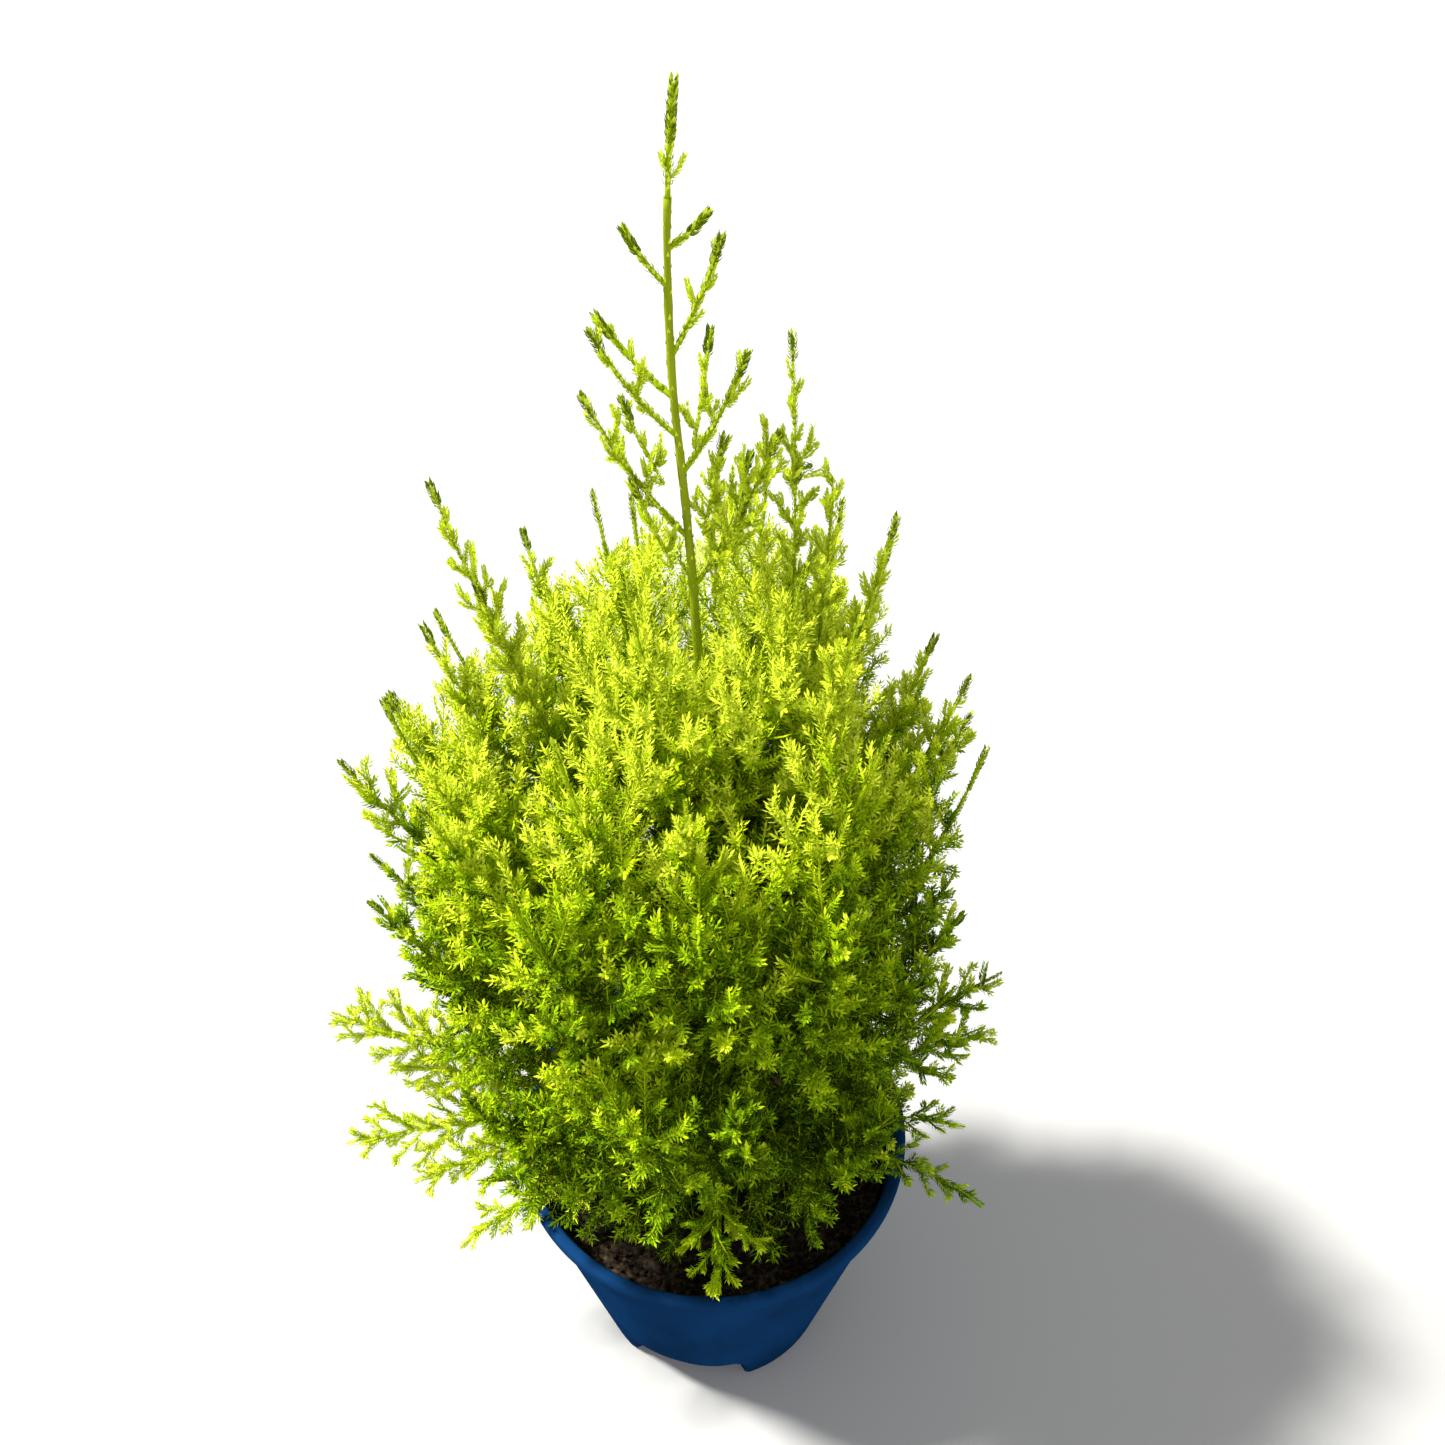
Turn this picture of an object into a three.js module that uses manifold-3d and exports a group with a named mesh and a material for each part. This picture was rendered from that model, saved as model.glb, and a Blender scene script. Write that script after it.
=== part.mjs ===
// A young lemon cypress in a nursery pot. Millimetres, +Z up, the pot stands on Z = 0 and the
// viewer stands on the -Y side.
//
// The plant is grown by a seeded rule. Each bough leaves the trunk and ends where it enters its
// plume. A plume has a stem that runs on from the bough, a slim dense core where the plant is thick,
// and side shoots set round the stem by the golden angle. A plume keeps to the space that is nearer
// to its own axis than to any other, so no two of them meet.

import * as THREE from "three";
import { mergeVertices } from "three/addons/utils/BufferGeometryUtils.js";
import Module from "manifold-3d";

const wasm = await Module();
wasm.setup();

// Driving dimensions
const clearance = 0.3;
const pot = {
  rimRadius: 85,
  height: 131,
  footRadius: 55,
  wall: 2.2,
  floor: 3,
  lipHeight: 7,
  lipWidth: 5.4,
  lipOverhang: 3.6,
  collarHeight: 22,
  collarStep: 1.3,
  recessCount: 3,
  recessDepth: 6,
  recessHeight: 28,
  recessAngle: 59,
  recessColumns: 10,
  firstRecess: 257.5,
  shelfFoot: 14,
  shelf: 4,
  sides: 28,
};
const soil = { top: 110, unevenness: 1, levelShare: 0.17, gap: 0.4, sides: 16 };
const trunk = {
  foot: soil.top + clearance,
  rootRadius: 4.4,
  flare: 2.6,
  flareHeight: 9,
  endRadius: 1,
  endHeight: 537,
  tipHeight: 565,
  taper: 1.35,
  sides: 7,
};
const bough = { rootRadius: 2, endRadius: 1.5, share: 0.24, sides: 5 };
const stem = { rootRadius: 1.45, tipRadius: 0.8, slimShare: 0.75, sides: 4 };
const core = { start: 0.12, end: 0.87, bulge: 0.6, room: 0.43, tuft: 0.3, tuftFrom: 3, sides: 6, steps: 8 };
const needle = { width: 0.18, least: 2.6, slimLeast: 1.9, stageLength: 11, waist: 0.3, taper: 0.4, sides: 3 };
const spike = { width: 0.2, sides: 3, spacing: 8.6, whorledEach: 6 };
const tuft = { length: 13, width: 2.9, slimLength: 6, slimWidth: 2 };

// Side shoots: where they start and end on a plume, their spacing on a stem with no core, how far
// they open from the stem at its foot and how far they close towards its tip, and how their length
// swells and falls along it.
const side = {
  first: 0.22,
  last: 0.93,
  spacing: 9.5,
  slimSpacing: 6.5,
  opening: 66,
  closing: 24,
  lengthAtFoot: 0.55,
  swell: 1.4,
  fall: 0.62,
  least: 10,
  slimLeast: 4,
};

// How much azimuth, reach, height, opening, length and turn change by chance.
const chance = { azimuth: 14, reach: 0.1, top: 18, opening: 12, length: 0.3, turn: 0.5 };
const goldenAngle = Math.PI * (3 - Math.sqrt(5));
const seed = 20417;

// The crown is widest at its middle height and its middle lies to the left of the trunk, the more
// so further down.
const crown = { reach: 112, middle: 238, halfHeight: 214, shift: -13, shiftTop: 450, shiftFade: 100 };

// Tiers of plumes: their number, the azimuth of the first one, the lowest root and the step between
// roots on the trunk, the reach of the tips, the height of the bend above the root, the height of
// the tips, the longest side shoot and the width of the core.
const tiers = [
  {
    name: "base",
    count: 4,
    first: 47,
    root: 124,
    rootStep: 6,
    reach: 103,
    rise: 26,
    top: 214,
    spread: 54,
    core: 18,
    hasBough: true,
  },
  {
    name: "lower",
    count: 5,
    first: 188,
    root: 152,
    rootStep: 6,
    reach: 105,
    rise: 34,
    out: 0.75,
    top: 286,
    spread: 60,
    core: 22,
    hasBough: true,
  },
  {
    name: "middle",
    count: 6,
    first: 0,
    root: 184,
    rootStep: 6,
    reach: 100,
    rise: 60,
    out: 0.76,
    top: 366,
    spread: 60,
    core: 24,
    hasBough: true,
  },
  {
    name: "shoulder",
    count: 5,
    first: 30,
    root: 221,
    rootStep: 5,
    reach: 79,
    rise: 76,
    out: 0.7,
    top: 408,
    spread: 52,
    core: 18,
    hasBough: false,
    bareShare: 0.3,
  },
  {
    name: "upper",
    count: 4,
    first: 52,
    root: 252,
    rootStep: 7,
    reach: 40,
    rise: 84,
    top: 440,
    spread: 46,
    core: 15,
    hasBough: false,
    bareShare: 0.34,
  },
];

// Sprays low on the trunk, each with its azimuth, the height of its root, its reach, the heights of
// its bend and of its tip, and its longest side shoot. A bend above the tip makes a spray droop.
const lowSprays = [
  { name: "left", azimuth: 177, root: 141, reach: 157, bend: 162, top: 196, spread: 40, core: 13 },
  { name: "low_left", azimuth: 187, root: 131, reach: 155, bend: 156, top: 143, spread: 36, core: 13 },
  { name: "front_left", azimuth: 211, root: 119, reach: 118, bend: 162, top: 134, spread: 36, core: 11 },
  { name: "front", azimuth: 272, root: 126, reach: 82, bend: 172, top: 138, spread: 40, core: 14 },
  { name: "low_right", azimuth: 341, root: 119, reach: 120, bend: 160, top: 128, spread: 24, core: 8 },
  { name: "right", azimuth: 3, root: 144, reach: 113, bend: 158, top: 190, spread: 48, core: 14 },
];

// Long shoots that stand out of the crown's top.
const longShoots = [
  {
    name: "second_leader",
    azimuth: 12,
    root: 284,
    reach: 24,
    bareShare: 0.34,
    bend: 330,
    top: 498,
    out: 1.5,
    spread: 13,
    core: 0,
  },
  {
    name: "curled_shoot",
    azimuth: 353,
    root: 291,
    reach: 36,
    bareShare: 0.34,
    bend: 345,
    top: 458,
    out: 1.1,
    spread: 13,
    core: 0,
    curl: 5,
  },
  {
    name: "long_left_shoot",
    azimuth: 183,
    root: 248,
    reach: 79,
    bareShare: 0.5,
    bend: 322,
    top: 457,
    out: 0.62,
    spread: 16,
    core: 0,
  },
];

// Side shoots of the leader above the crown: the height of the node, the azimuth, how far the tip
// goes out and up, and the longest twig.
const leaderShoots = [
  { height: 524, azimuth: 5, out: 10.5, up: 9, spread: 0 },
  { height: 514, azimuth: 178, out: 11, up: 15, spread: 0 },
  { height: 494, azimuth: 10, out: 14, up: 32, spread: 7 },
  { height: 482, azimuth: 162, out: 22, up: 21, spread: 7 },
  { height: 470, azimuth: 194, out: 23, up: 34, spread: 8 },
  { height: 458, azimuth: 14, out: 19, up: 35, spread: 11 },
  { height: 436, azimuth: 178, out: 29, up: 46, spread: 14 },
  { height: 418, azimuth: 356, out: 25, up: 54, spread: 20 },
];

// Numbers between 0 and 1 that are the same on every run.
function seeded(start) {
  let state = start >>> 0;
  return () => {
    state = (state + 0x6d2b79f5) >>> 0;
    let t = state;
    t = Math.imul(t ^ (t >>> 15), t | 1);
    t ^= t + Math.imul(t ^ (t >>> 7), t | 61);
    return ((t ^ (t >>> 14)) >>> 0) / 4294967296;
  };
}

const radians = THREE.MathUtils.degToRad;

function heading(azimuth) {
  return new THREE.Vector3(Math.cos(radians(azimuth)), Math.sin(radians(azimuth)), 0);
}

// A three.js geometry as a solid that can be joined and cut.
function solidOf(geometry) {
  const bare = geometry.clone();
  bare.deleteAttribute("normal");
  bare.deleteAttribute("uv");
  const merged = mergeVertices(bare, 1e-4);
  const position = merged.getAttribute("position");
  return new wasm.Manifold(
    new wasm.Mesh({
      numProp: 3,
      vertProperties: new Float32Array(position.array),
      triVerts: new Uint32Array(merged.index.array),
    }),
  );
}

// A solid back as a named three.js mesh.
function meshOf(name, solid, material) {
  const { vertProperties, triVerts, numProp } = solid.getMesh();
  const count = vertProperties.length / numProp;
  const positions = new Float32Array(count * 3);
  for (let i = 0; i < count; i++) {
    for (let k = 0; k < 3; k++) positions[3 * i + k] = vertProperties[numProp * i + k];
  }
  const geometry = new THREE.BufferGeometry();
  geometry.setAttribute("position", new THREE.BufferAttribute(positions, 3));
  geometry.setIndex(new THREE.BufferAttribute(new Uint32Array(triVerts), 1));
  geometry.computeVertexNormals();
  const mesh = new THREE.Mesh(geometry, material);
  mesh.name = name;
  return mesh;
}

function largestBody(solid) {
  const bodies = solid.decompose();
  return bodies.reduce((best, body) => (body.volume() > best.volume() ? body : best));
}

// A closed limb along a curve, from share u0 to share u1 of its length. The rings stand across the
// curve, or level where level is true, and their first corner points along the given direction. The
// radius may also change round the limb.
function limbSolid(curve, radiusAt, { u0, u1, across, sides, steps, level = false }) {
  const geometry = new THREE.CylinderGeometry(1, 1, 1, sides, steps);
  const position = geometry.getAttribute("position");
  const point = new THREE.Vector3();
  for (let i = 0; i < position.count; i++) {
    point.fromBufferAttribute(position, i);
    const u = u0 + (point.y + 0.5) * (u1 - u0);
    const along = level ? new THREE.Vector3(0, 0, 1) : curve.getTangentAt(u);
    const second = across.clone().addScaledVector(along, -across.dot(along)).normalize();
    const third = new THREE.Vector3().crossVectors(second, along);
    const round = Math.atan2(point.z, point.x);
    const place = curve.getPointAt(u);
    place.addScaledVector(second, point.x * radiusAt(u, round));
    place.addScaledVector(third, point.z * radiusAt(u, round));
    position.setXYZ(i, place.x, place.y, place.z);
  }
  return solidOf(geometry);
}

// A shoot set with whorls of needles: a slim lathe body whose wide rings are the needles' tips. The
// rings turn by half a whorl from one to the next.
function needleShoot(length, width) {
  const stages = THREE.MathUtils.clamp(Math.round(length / needle.stageLength), 2, 3);
  const stage = length / (stages + 0.45);
  const profile = [new THREE.Vector2(0, 0)];
  for (let k = 0; k < stages; k++) {
    const taper = 1 - (needle.taper * k) / stages;
    profile.push(new THREE.Vector2(width * taper, stage * (k + 0.9)));
    if (k < stages - 1) profile.push(new THREE.Vector2(width * needle.waist * taper, stage * (k + 1)));
  }
  profile.push(new THREE.Vector2(0, length));
  const geometry = new THREE.LatheGeometry(profile, needle.sides);
  const position = geometry.getAttribute("position");
  for (let i = 0; i < position.count; i++) {
    const turn = (position.getY(i) / stage) * (Math.PI / needle.sides);
    const [x, z] = [position.getX(i), position.getZ(i)];
    position.setX(i, x * Math.cos(turn) - z * Math.sin(turn));
    position.setZ(i, x * Math.sin(turn) + z * Math.cos(turn));
  }
  return geometry;
}

// A plain pointed spray, thickest at its root.
function spikeShoot(length, width) {
  const shoulder = 0.12 * length;
  const profile = [[0, 0], [width, shoulder], [0, length]].map(([r, y]) => new THREE.Vector2(r, y));
  return new THREE.LatheGeometry(profile, spike.sides);
}

// The trunk's axis, from the foot to the leader's tip.
const trunkCurve = new THREE.CatmullRomCurve3([
  new THREE.Vector3(2, 1, trunk.foot),
  new THREE.Vector3(1, 0, 220),
  new THREE.Vector3(-1, 0, 330),
  new THREE.Vector3(-5, 0, 430),
  new THREE.Vector3(-9.5, 0, 495),
  new THREE.Vector3(-9, 0, 540),
  new THREE.Vector3(-7, 0, trunk.tipHeight),
]);

// The share of the trunk's length at a height.
function trunkShare(height) {
  let [low, high] = [0, 1];
  for (let i = 0; i < 30; i++) {
    const middle = (low + high) / 2;
    if (trunkCurve.getPointAt(middle).z < height) low = middle;
    else high = middle;
  }
  return (low + high) / 2;
}

function trunkPoint(height) {
  return trunkCurve.getPointAt(trunkShare(height));
}

function trunkRadius(height) {
  const share = Math.min(1, (height - trunk.foot) / (trunk.endHeight - trunk.foot));
  const body = (trunk.rootRadius - trunk.endRadius) * Math.pow(1 - share, trunk.taper);
  const flare = trunk.flare * Math.pow(Math.max(0, 1 - (height - trunk.foot) / trunk.flareHeight), 2);
  return trunk.endRadius + body + flare;
}

function trunkSolid(extra) {
  const radiusAt = (u) => trunkRadius(trunkCurve.getPointAt(u).z) + extra;
  const flareShare = trunkShare(trunk.foot + trunk.flareHeight);
  const sizes = { across: new THREE.Vector3(1, 0, 0), sides: trunk.sides, level: true };
  const end = trunkShare(trunk.endHeight + extra);
  const foot = limbSolid(trunkCurve, radiusAt, { ...sizes, u0: 0, u1: flareShare, steps: 2 });
  const rest = limbSolid(trunkCurve, radiusAt, { ...sizes, u0: flareShare, u1: end, steps: 12 });
  return foot.add(rest);
}

// Where the crown's middle lies at a height, along X.
function crownShift(height) {
  const fade = THREE.MathUtils.clamp((crown.shiftTop - height) / crown.shiftFade, 0, 1);
  return crown.shift * fade;
}

// How far the dense crown reaches from its middle at a height.
function crownReach(height) {
  const share = (height - crown.middle) / crown.halfHeight;
  return crown.reach * Math.max(0, 1 - Math.pow(share, 4));
}

// The axis of a plume or shoot, as a curve from the middle of the trunk to the tip.
function plumeCurve({ azimuth, root, reach, bend, top, out = 0.6, curl = 0, inCrown = false }) {
  const start = trunkPoint(root);
  const shift = inCrown ? crownShift(top) : 0;
  const tip = heading(azimuth).multiplyScalar(reach).add(new THREE.Vector3(shift, 0, top));
  const middle = start.clone().lerp(tip, out).setZ(bend);
  const rise = new THREE.QuadraticBezierCurve3(start, middle, tip);
  if (!curl) return rise;
  const points = rise.getSpacedPoints(8);
  const last = rise.getPoint(1);
  const inward = heading(azimuth).multiplyScalar(-1);
  for (const turn of [0.3, 0.65, 1]) {
    const point = last.clone().addScaledVector(inward, curl * (1 - Math.cos(Math.PI * turn)));
    point.z += curl * Math.sin(Math.PI * turn);
    points.push(point);
  }
  return new THREE.CatmullRomCurve3(points);
}

// All plumes with their curves, in a fixed order.
function plumeList() {
  const random = seeded(seed);
  const list = [];
  for (const spray of lowSprays) {
    list.push({ ...spray, name: spray.name + "_spray", hasBough: false });
  }
  for (const tier of tiers) {
    for (let i = 0; i < tier.count; i++) {
      const step = tier.count % 2 ? (i * 2) % tier.count : i;
      const root = tier.root + tier.rootStep * step;
      list.push({
        ...tier,
        name: tier.name + "_plume_" + (i + 1),
        azimuth: tier.first + (360 * i) / tier.count + chance.azimuth * (random() - 0.5),
        root,
        bend: root + tier.rise,
        reach: tier.reach * (1 + chance.reach * (random() - 0.5)),
        top: tier.top + chance.top * (random() - 0.5),
        inCrown: true,
      });
    }
  }
  for (const shoot of longShoots) list.push({ ...shoot, hasBough: false });
  return list.map((plume) => ({ ...plume, curve: plumeCurve(plume) }));
}

// The leader's last length, which carries a pair of side shoots and the top tuft.
function leaderTip() {
  const [low, high] = [trunkShare(trunk.endHeight), 1];
  const points = [0, 0.5, 1].map((u) => trunkCurve.getPointAt(low + (high - low) * u));
  return {
    name: "leader_tip",
    azimuth: 0,
    core: 0,
    spread: 12,
    bareShare: 0.12,
    lastShare: 0.27,
    spacing: 2.1,
    slim: true,
    turn: Math.PI,
    hasBough: false,
    curve: new THREE.CatmullRomCurve3(points),
  };
}

// The leader's side shoots, as plumes with no core.
function leaderShootList() {
  return leaderShoots.map((shoot, i) => {
    const start = trunkPoint(shoot.height);
    const tip = start.clone().addScaledVector(heading(shoot.azimuth), shoot.out);
    tip.z += shoot.up;
    const bend = start.clone().lerp(tip, 0.6);
    bend.z = start.z + shoot.up * 0.42;
    return {
      ...shoot,
      name: "leader_shoot_" + (i + 1),
      core: 0,
      hasBough: false,
      slim: true,
      curve: new THREE.QuadraticBezierCurve3(start, bend, tip),
    };
  });
}

const plumes = [...plumeList(), ...leaderShootList(), leaderTip()];
for (const plume of plumes) plume.samples = plume.curve.getSpacedPoints(24);

// The distance from a point to a sampled axis.
function distanceTo(samples, point) {
  let least = Infinity;
  const line = new THREE.Line3();
  const near = new THREE.Vector3();
  for (let i = 1; i < samples.length; i++) {
    line.set(samples[i - 1], samples[i]);
    line.closestPointToPoint(point, true, near);
    least = Math.min(least, near.distanceTo(point));
  }
  return least;
}

function distanceToOthers(owner, point) {
  const others = plumes.filter((plume) => plume !== owner);
  return Math.min(...others.map((plume) => distanceTo(plume.samples, point)));
}

// Whether a needle of the given width may stand at a point: clear of the soil, the pot and the
// trunk, and in the owner's own space.
function isFree(owner, point, width) {
  const radius = Math.hypot(point.x, point.y);
  if (radius < pot.rimRadius + width + 2) {
    const overPot = radius > pot.rimRadius - 9 - width;
    if (point.z < (overPot ? pot.height : soil.top + 1.6 * soil.unevenness) + width + 1) return false;
  } else if (point.z < width + 1) return false;
  if (owner.inCrown) {
    const fromMiddle = Math.hypot(point.x - crownShift(point.z), point.y);
    if (fromMiddle > crownReach(point.z)) return false;
  }
  const height = THREE.MathUtils.clamp(point.z, trunk.foot, trunk.endHeight);
  const fromTrunk = point.distanceTo(trunkPoint(height)) - trunkRadius(height);
  if (fromTrunk < width * 0.6 + 0.5) return false;
  return distanceToOthers(owner, point) > distanceTo(owner.samples, point) + width * 0.8;
}

// Solids already placed, so that a new shoot can be tested against its neighbours.
const placed = [];

function place(owner, solid) {
  placed.push({ owner, solid, box: solid.boundingBox() });
}

function isClear(owner, solid) {
  const gap = clearance + 0.05;
  const box = solid.boundingBox();
  const boxesMeet = (other) =>
    [0, 1, 2].every((k) => other.min[k] - gap < box.max[k] && box.min[k] - gap < other.max[k]);
  return placed
    .filter((other) => other.owner !== owner && boxesMeet(other.box))
    .every((other) => other.solid.minGap(solid, gap) >= gap);
}

// A shoot's geometry as a solid at a place, pointing along a direction.
function shootSolid(geometry, root, direction, roll) {
  const turn = new THREE.Quaternion().setFromUnitVectors(new THREE.Vector3(0, 1, 0), direction);
  turn.multiply(new THREE.Quaternion().setFromAxisAngle(new THREE.Vector3(0, 1, 0), roll));
  const matrix = new THREE.Matrix4().compose(root, turn, new THREE.Vector3(1, 1, 1));
  return solidOf(geometry.applyMatrix4(matrix));
}

function boughSolid(plume, grownTrunk) {
  const share = (u) => u / bough.share;
  const radiusAt = (u) => THREE.MathUtils.lerp(bough.rootRadius, bough.endRadius, share(u));
  const across = heading(plume.azimuth + 90);
  const sizes = { u0: 0, u1: bough.share, across, sides: bough.sides, steps: 2 };
  return largestBody(limbSolid(plume.curve, radiusAt, sizes).subtract(grownTrunk));
}

function stemStart(plume) {
  return plume.hasBough ? bough.share + clearance / plume.curve.getLength() : 0;
}

// The radius of a plume's body: its stem, swollen by the core as far as its space lets it.
function bodyRadius(plume, u) {
  const start = stemStart(plume);
  const full = THREE.MathUtils.lerp(stem.rootRadius, stem.tipRadius, u);
  const own = full * (plume.slim ? stem.slimShare : 1);
  const coreStart = Math.max(start, core.start);
  const along = (u - coreStart) / (core.end - coreStart);
  if (!plume.core || along <= 0 || along >= 1) return own;
  const swell = plume.core * Math.pow(Math.sin(Math.PI * along), core.bulge);
  const room = core.room * distanceToOthers(plume, plume.curve.getPointAt(u)) - clearance;
  return Math.max(own, Math.min(swell, room));
}

// The same radius with tufts: every other corner of a ring stands out, and the next ring's corners
// stand out between them.
function tuftedRadius(plume, u, round) {
  const radius = bodyRadius(plume, u);
  if (radius < core.tuftFrom) return radius;
  const [start, end] = [stemStart(plume), stemEnd(plume)];
  const ring = Math.round(((u - start) / (end - start)) * core.steps);
  const corner = Math.round((round / (2 * Math.PI)) * core.sides);
  return radius * ((ring + corner) % 2 === 0 ? 1 + core.tuft / 2 : 1 - core.tuft);
}

function stemEnd(plume) {
  return 1 - (0.8 * tipLength(plume)) / plume.curve.getLength();
}

// The stem of a plume with its core.
function stemSolid(plume) {
  const length = plume.curve.getLength();
  const steps = plume.core ? core.steps : Math.max(2, Math.round(length / 30));
  const sides = plume.core ? core.sides : stem.sides;
  const across = heading(plume.azimuth + 90);
  const sizes = { u0: stemStart(plume), u1: stemEnd(plume), across, sides, steps };
  return limbSolid(plume.curve, (u, round) => tuftedRadius(plume, u, round), sizes);
}

// The pieces of a plume in one solid, cut clear of the trunk. A loose scrap is dropped.
function plumeSolid(plume, grownTrunk) {
  return largestBody(wasm.Manifold.union(plume.pieces).subtract(grownTrunk));
}

// The side shoots of a plume, set round its stem by the golden angle and cut to the free space.
function sideShoots(plume, random) {
  if (!plume.spread) return [];
  const length = plume.curve.getLength();
  const first = plume.hasBough ? bough.share + 3 / length : (plume.bareShare ?? side.first);
  const last = plume.lastShare ?? side.last;
  const usual = plume.core ? spike.spacing : side.spacing;
  const spacing = plume.spacing ?? (plume.slim ? side.slimSpacing : usual);
  const count = Math.round(((last - first) * length) / spacing);
  const shoots = [];
  for (let i = 0; i < count; i++) {
    const along = (i + 0.5) / count;
    const u = first + along * (last - first);
    const root = plume.curve.getPointAt(u);
    const tangent = plume.curve.getTangentAt(u);
    const level = heading(plume.azimuth + 90).cross(tangent).normalize();
    const turn = i * (plume.turn ?? goldenAngle) + chance.turn * random();
    const round = level.applyAxisAngle(tangent, turn);
    const opening = radians(side.opening - side.closing * along + chance.opening * (random() - 0.5));
    const direction = tangent.clone().multiplyScalar(Math.cos(opening));
    direction.addScaledVector(round, Math.sin(opening)).normalize();
    const swell = Math.min(1, side.lengthAtFoot + side.swell * along);
    const share = swell * (1 - side.fall * along * along) * (1 + chance.length * (random() - 0.5));
    const hidden = (0.6 * bodyRadius(plume, u)) / Math.sin(opening);
    const roll = random() * Math.PI;
    root.addScaledVector(direction, hidden);
    const isPlain = plume.core > 0 && i % spike.whorledEach !== 2;
    shoots.push(...fittedShoot(plume, root, direction, plume.spread * share - hidden, roll, isPlain));
  }
  return shoots;
}

// One shoot, shortened until it fits its space, or none where it would be a mere stub.
function fittedShoot(plume, root, direction, wanted, roll, isPlain) {
  const least = plume.slim ? side.slimLeast : side.least;
  const leastWidth = plume.slim ? needle.slimLeast : needle.least;
  const share = isPlain ? spike.width : needle.width;
  const widthOf = (length) => Math.max(leastWidth, length * share);
  let room = least;
  while (room < wanted) {
    const next = Math.min(wanted, room + 2);
    const point = root.clone().addScaledVector(direction, next);
    if (!isFree(plume, point, isPlain ? 2 : widthOf(next))) break;
    room = next;
  }
  for (const part of [1, 0.84, 0.7, 0.55]) {
    const length = room * part;
    if (length < least) return [];
    const make = isPlain ? spikeShoot : needleShoot;
    const solid = shootSolid(make(length, widthOf(length)), root, direction, roll);
    if (isClear(plume, solid)) {
      place(plume, solid);
      return [solid];
    }
  }
  return [];
}

function tipLength(plume) {
  return plume.slim ? tuft.slimLength : tuft.length;
}

// The tuft at the tip of a plume.
function tipShoot(plume) {
  const length = tipLength(plume);
  const share = 1 - length / plume.curve.getLength();
  const root = plume.curve.getPointAt(share);
  const direction = plume.curve.getPointAt(1).sub(root).normalize();
  return shootSolid(needleShoot(length, plume.slim ? tuft.slimWidth : tuft.width), root, direction, 0);
}

// The outer radius of the pot's wall at a height below its collar.
function wallRadius(height) {
  const collar = pot.height - pot.collarHeight;
  const top = pot.rimRadius - pot.lipOverhang - 2 * pot.collarStep;
  return pot.footRadius + ((top - pot.footRadius) * height) / collar;
}

// The rolled lip in section, from its outer foot over its top to its inner foot.
function lipOutline() {
  const half = { across: pot.lipWidth / 2, up: pot.lipHeight / 2 };
  const middle = [pot.rimRadius - half.across, pot.height - half.up];
  const turns = [-68, -25, 22, 60, 95, 132, 172];
  const power = (value) => Math.sign(value) * Math.pow(Math.abs(value), 0.7);
  return turns.map((turn) => [
    middle[0] + half.across * power(Math.cos(radians(turn))),
    middle[1] + half.up * power(Math.sin(radians(turn))),
  ]);
}

// The pot, with a rolled lip over a collar, and a foot whose recesses leave three feet.
function potSolid() {
  const underLip = pot.height - pot.lipHeight;
  const collar = pot.height - pot.collarHeight;
  const shelfTop = pot.recessHeight + pot.shelf;
  const innerFoot = pot.footRadius - pot.recessDepth - pot.wall;
  const outline = [
    [0, 0],
    [pot.footRadius - 1, 0],
    [pot.footRadius, 1],
    [wallRadius(collar), collar],
    [wallRadius(collar) + pot.collarStep, collar + pot.collarStep],
    [pot.rimRadius - pot.lipOverhang, underLip],
    ...lipOutline(),
    [wallRadius(collar) + pot.collarStep - pot.wall, collar],
    [wallRadius(shelfTop) - pot.wall, shelfTop],
    [innerFoot, pot.shelfFoot],
    [innerFoot, pot.floor],
    [0, pot.floor],
  ];
  const profile = outline.map(([r, z]) => new THREE.Vector2(r, z));
  let solid = solidOf(new THREE.LatheGeometry(profile, pot.sides).rotateX(Math.PI / 2));
  for (let i = 0; i < pot.recessCount; i++) {
    solid = solid.subtract(recessSolid(pot.firstRecess + (360 * i) / pot.recessCount));
  }
  return solid;
}

// What a recess takes from the foot: a curved wedge with an arched top, which runs out into the wall.
function recessSolid(azimuth) {
  const inner = pot.footRadius - pot.recessDepth;
  const outer = wallRadius(pot.recessHeight) + 2;
  const geometry = new THREE.BoxGeometry(1, 1, 1, pot.recessColumns, 1, 1);
  const position = geometry.getAttribute("position");
  for (let i = 0; i < position.count; i++) {
    const across = Math.sign(position.getX(i)) * Math.sqrt(Math.abs(2 * position.getX(i)));
    const angle = radians(azimuth + (across * pot.recessAngle) / 2);
    const arch = Math.max(3, pot.recessHeight * Math.sqrt(1 - Math.pow(Math.abs(across), 8)));
    const isTop = position.getZ(i) > 0;
    const face = isTop ? wallRadius(arch) + 0.3 : inner;
    const radius = position.getY(i) > 0 ? face : outer;
    position.setXYZ(i, radius * Math.cos(angle), radius * Math.sin(angle), isTop ? arch : -1);
  }
  return solidOf(geometry);
}

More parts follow.
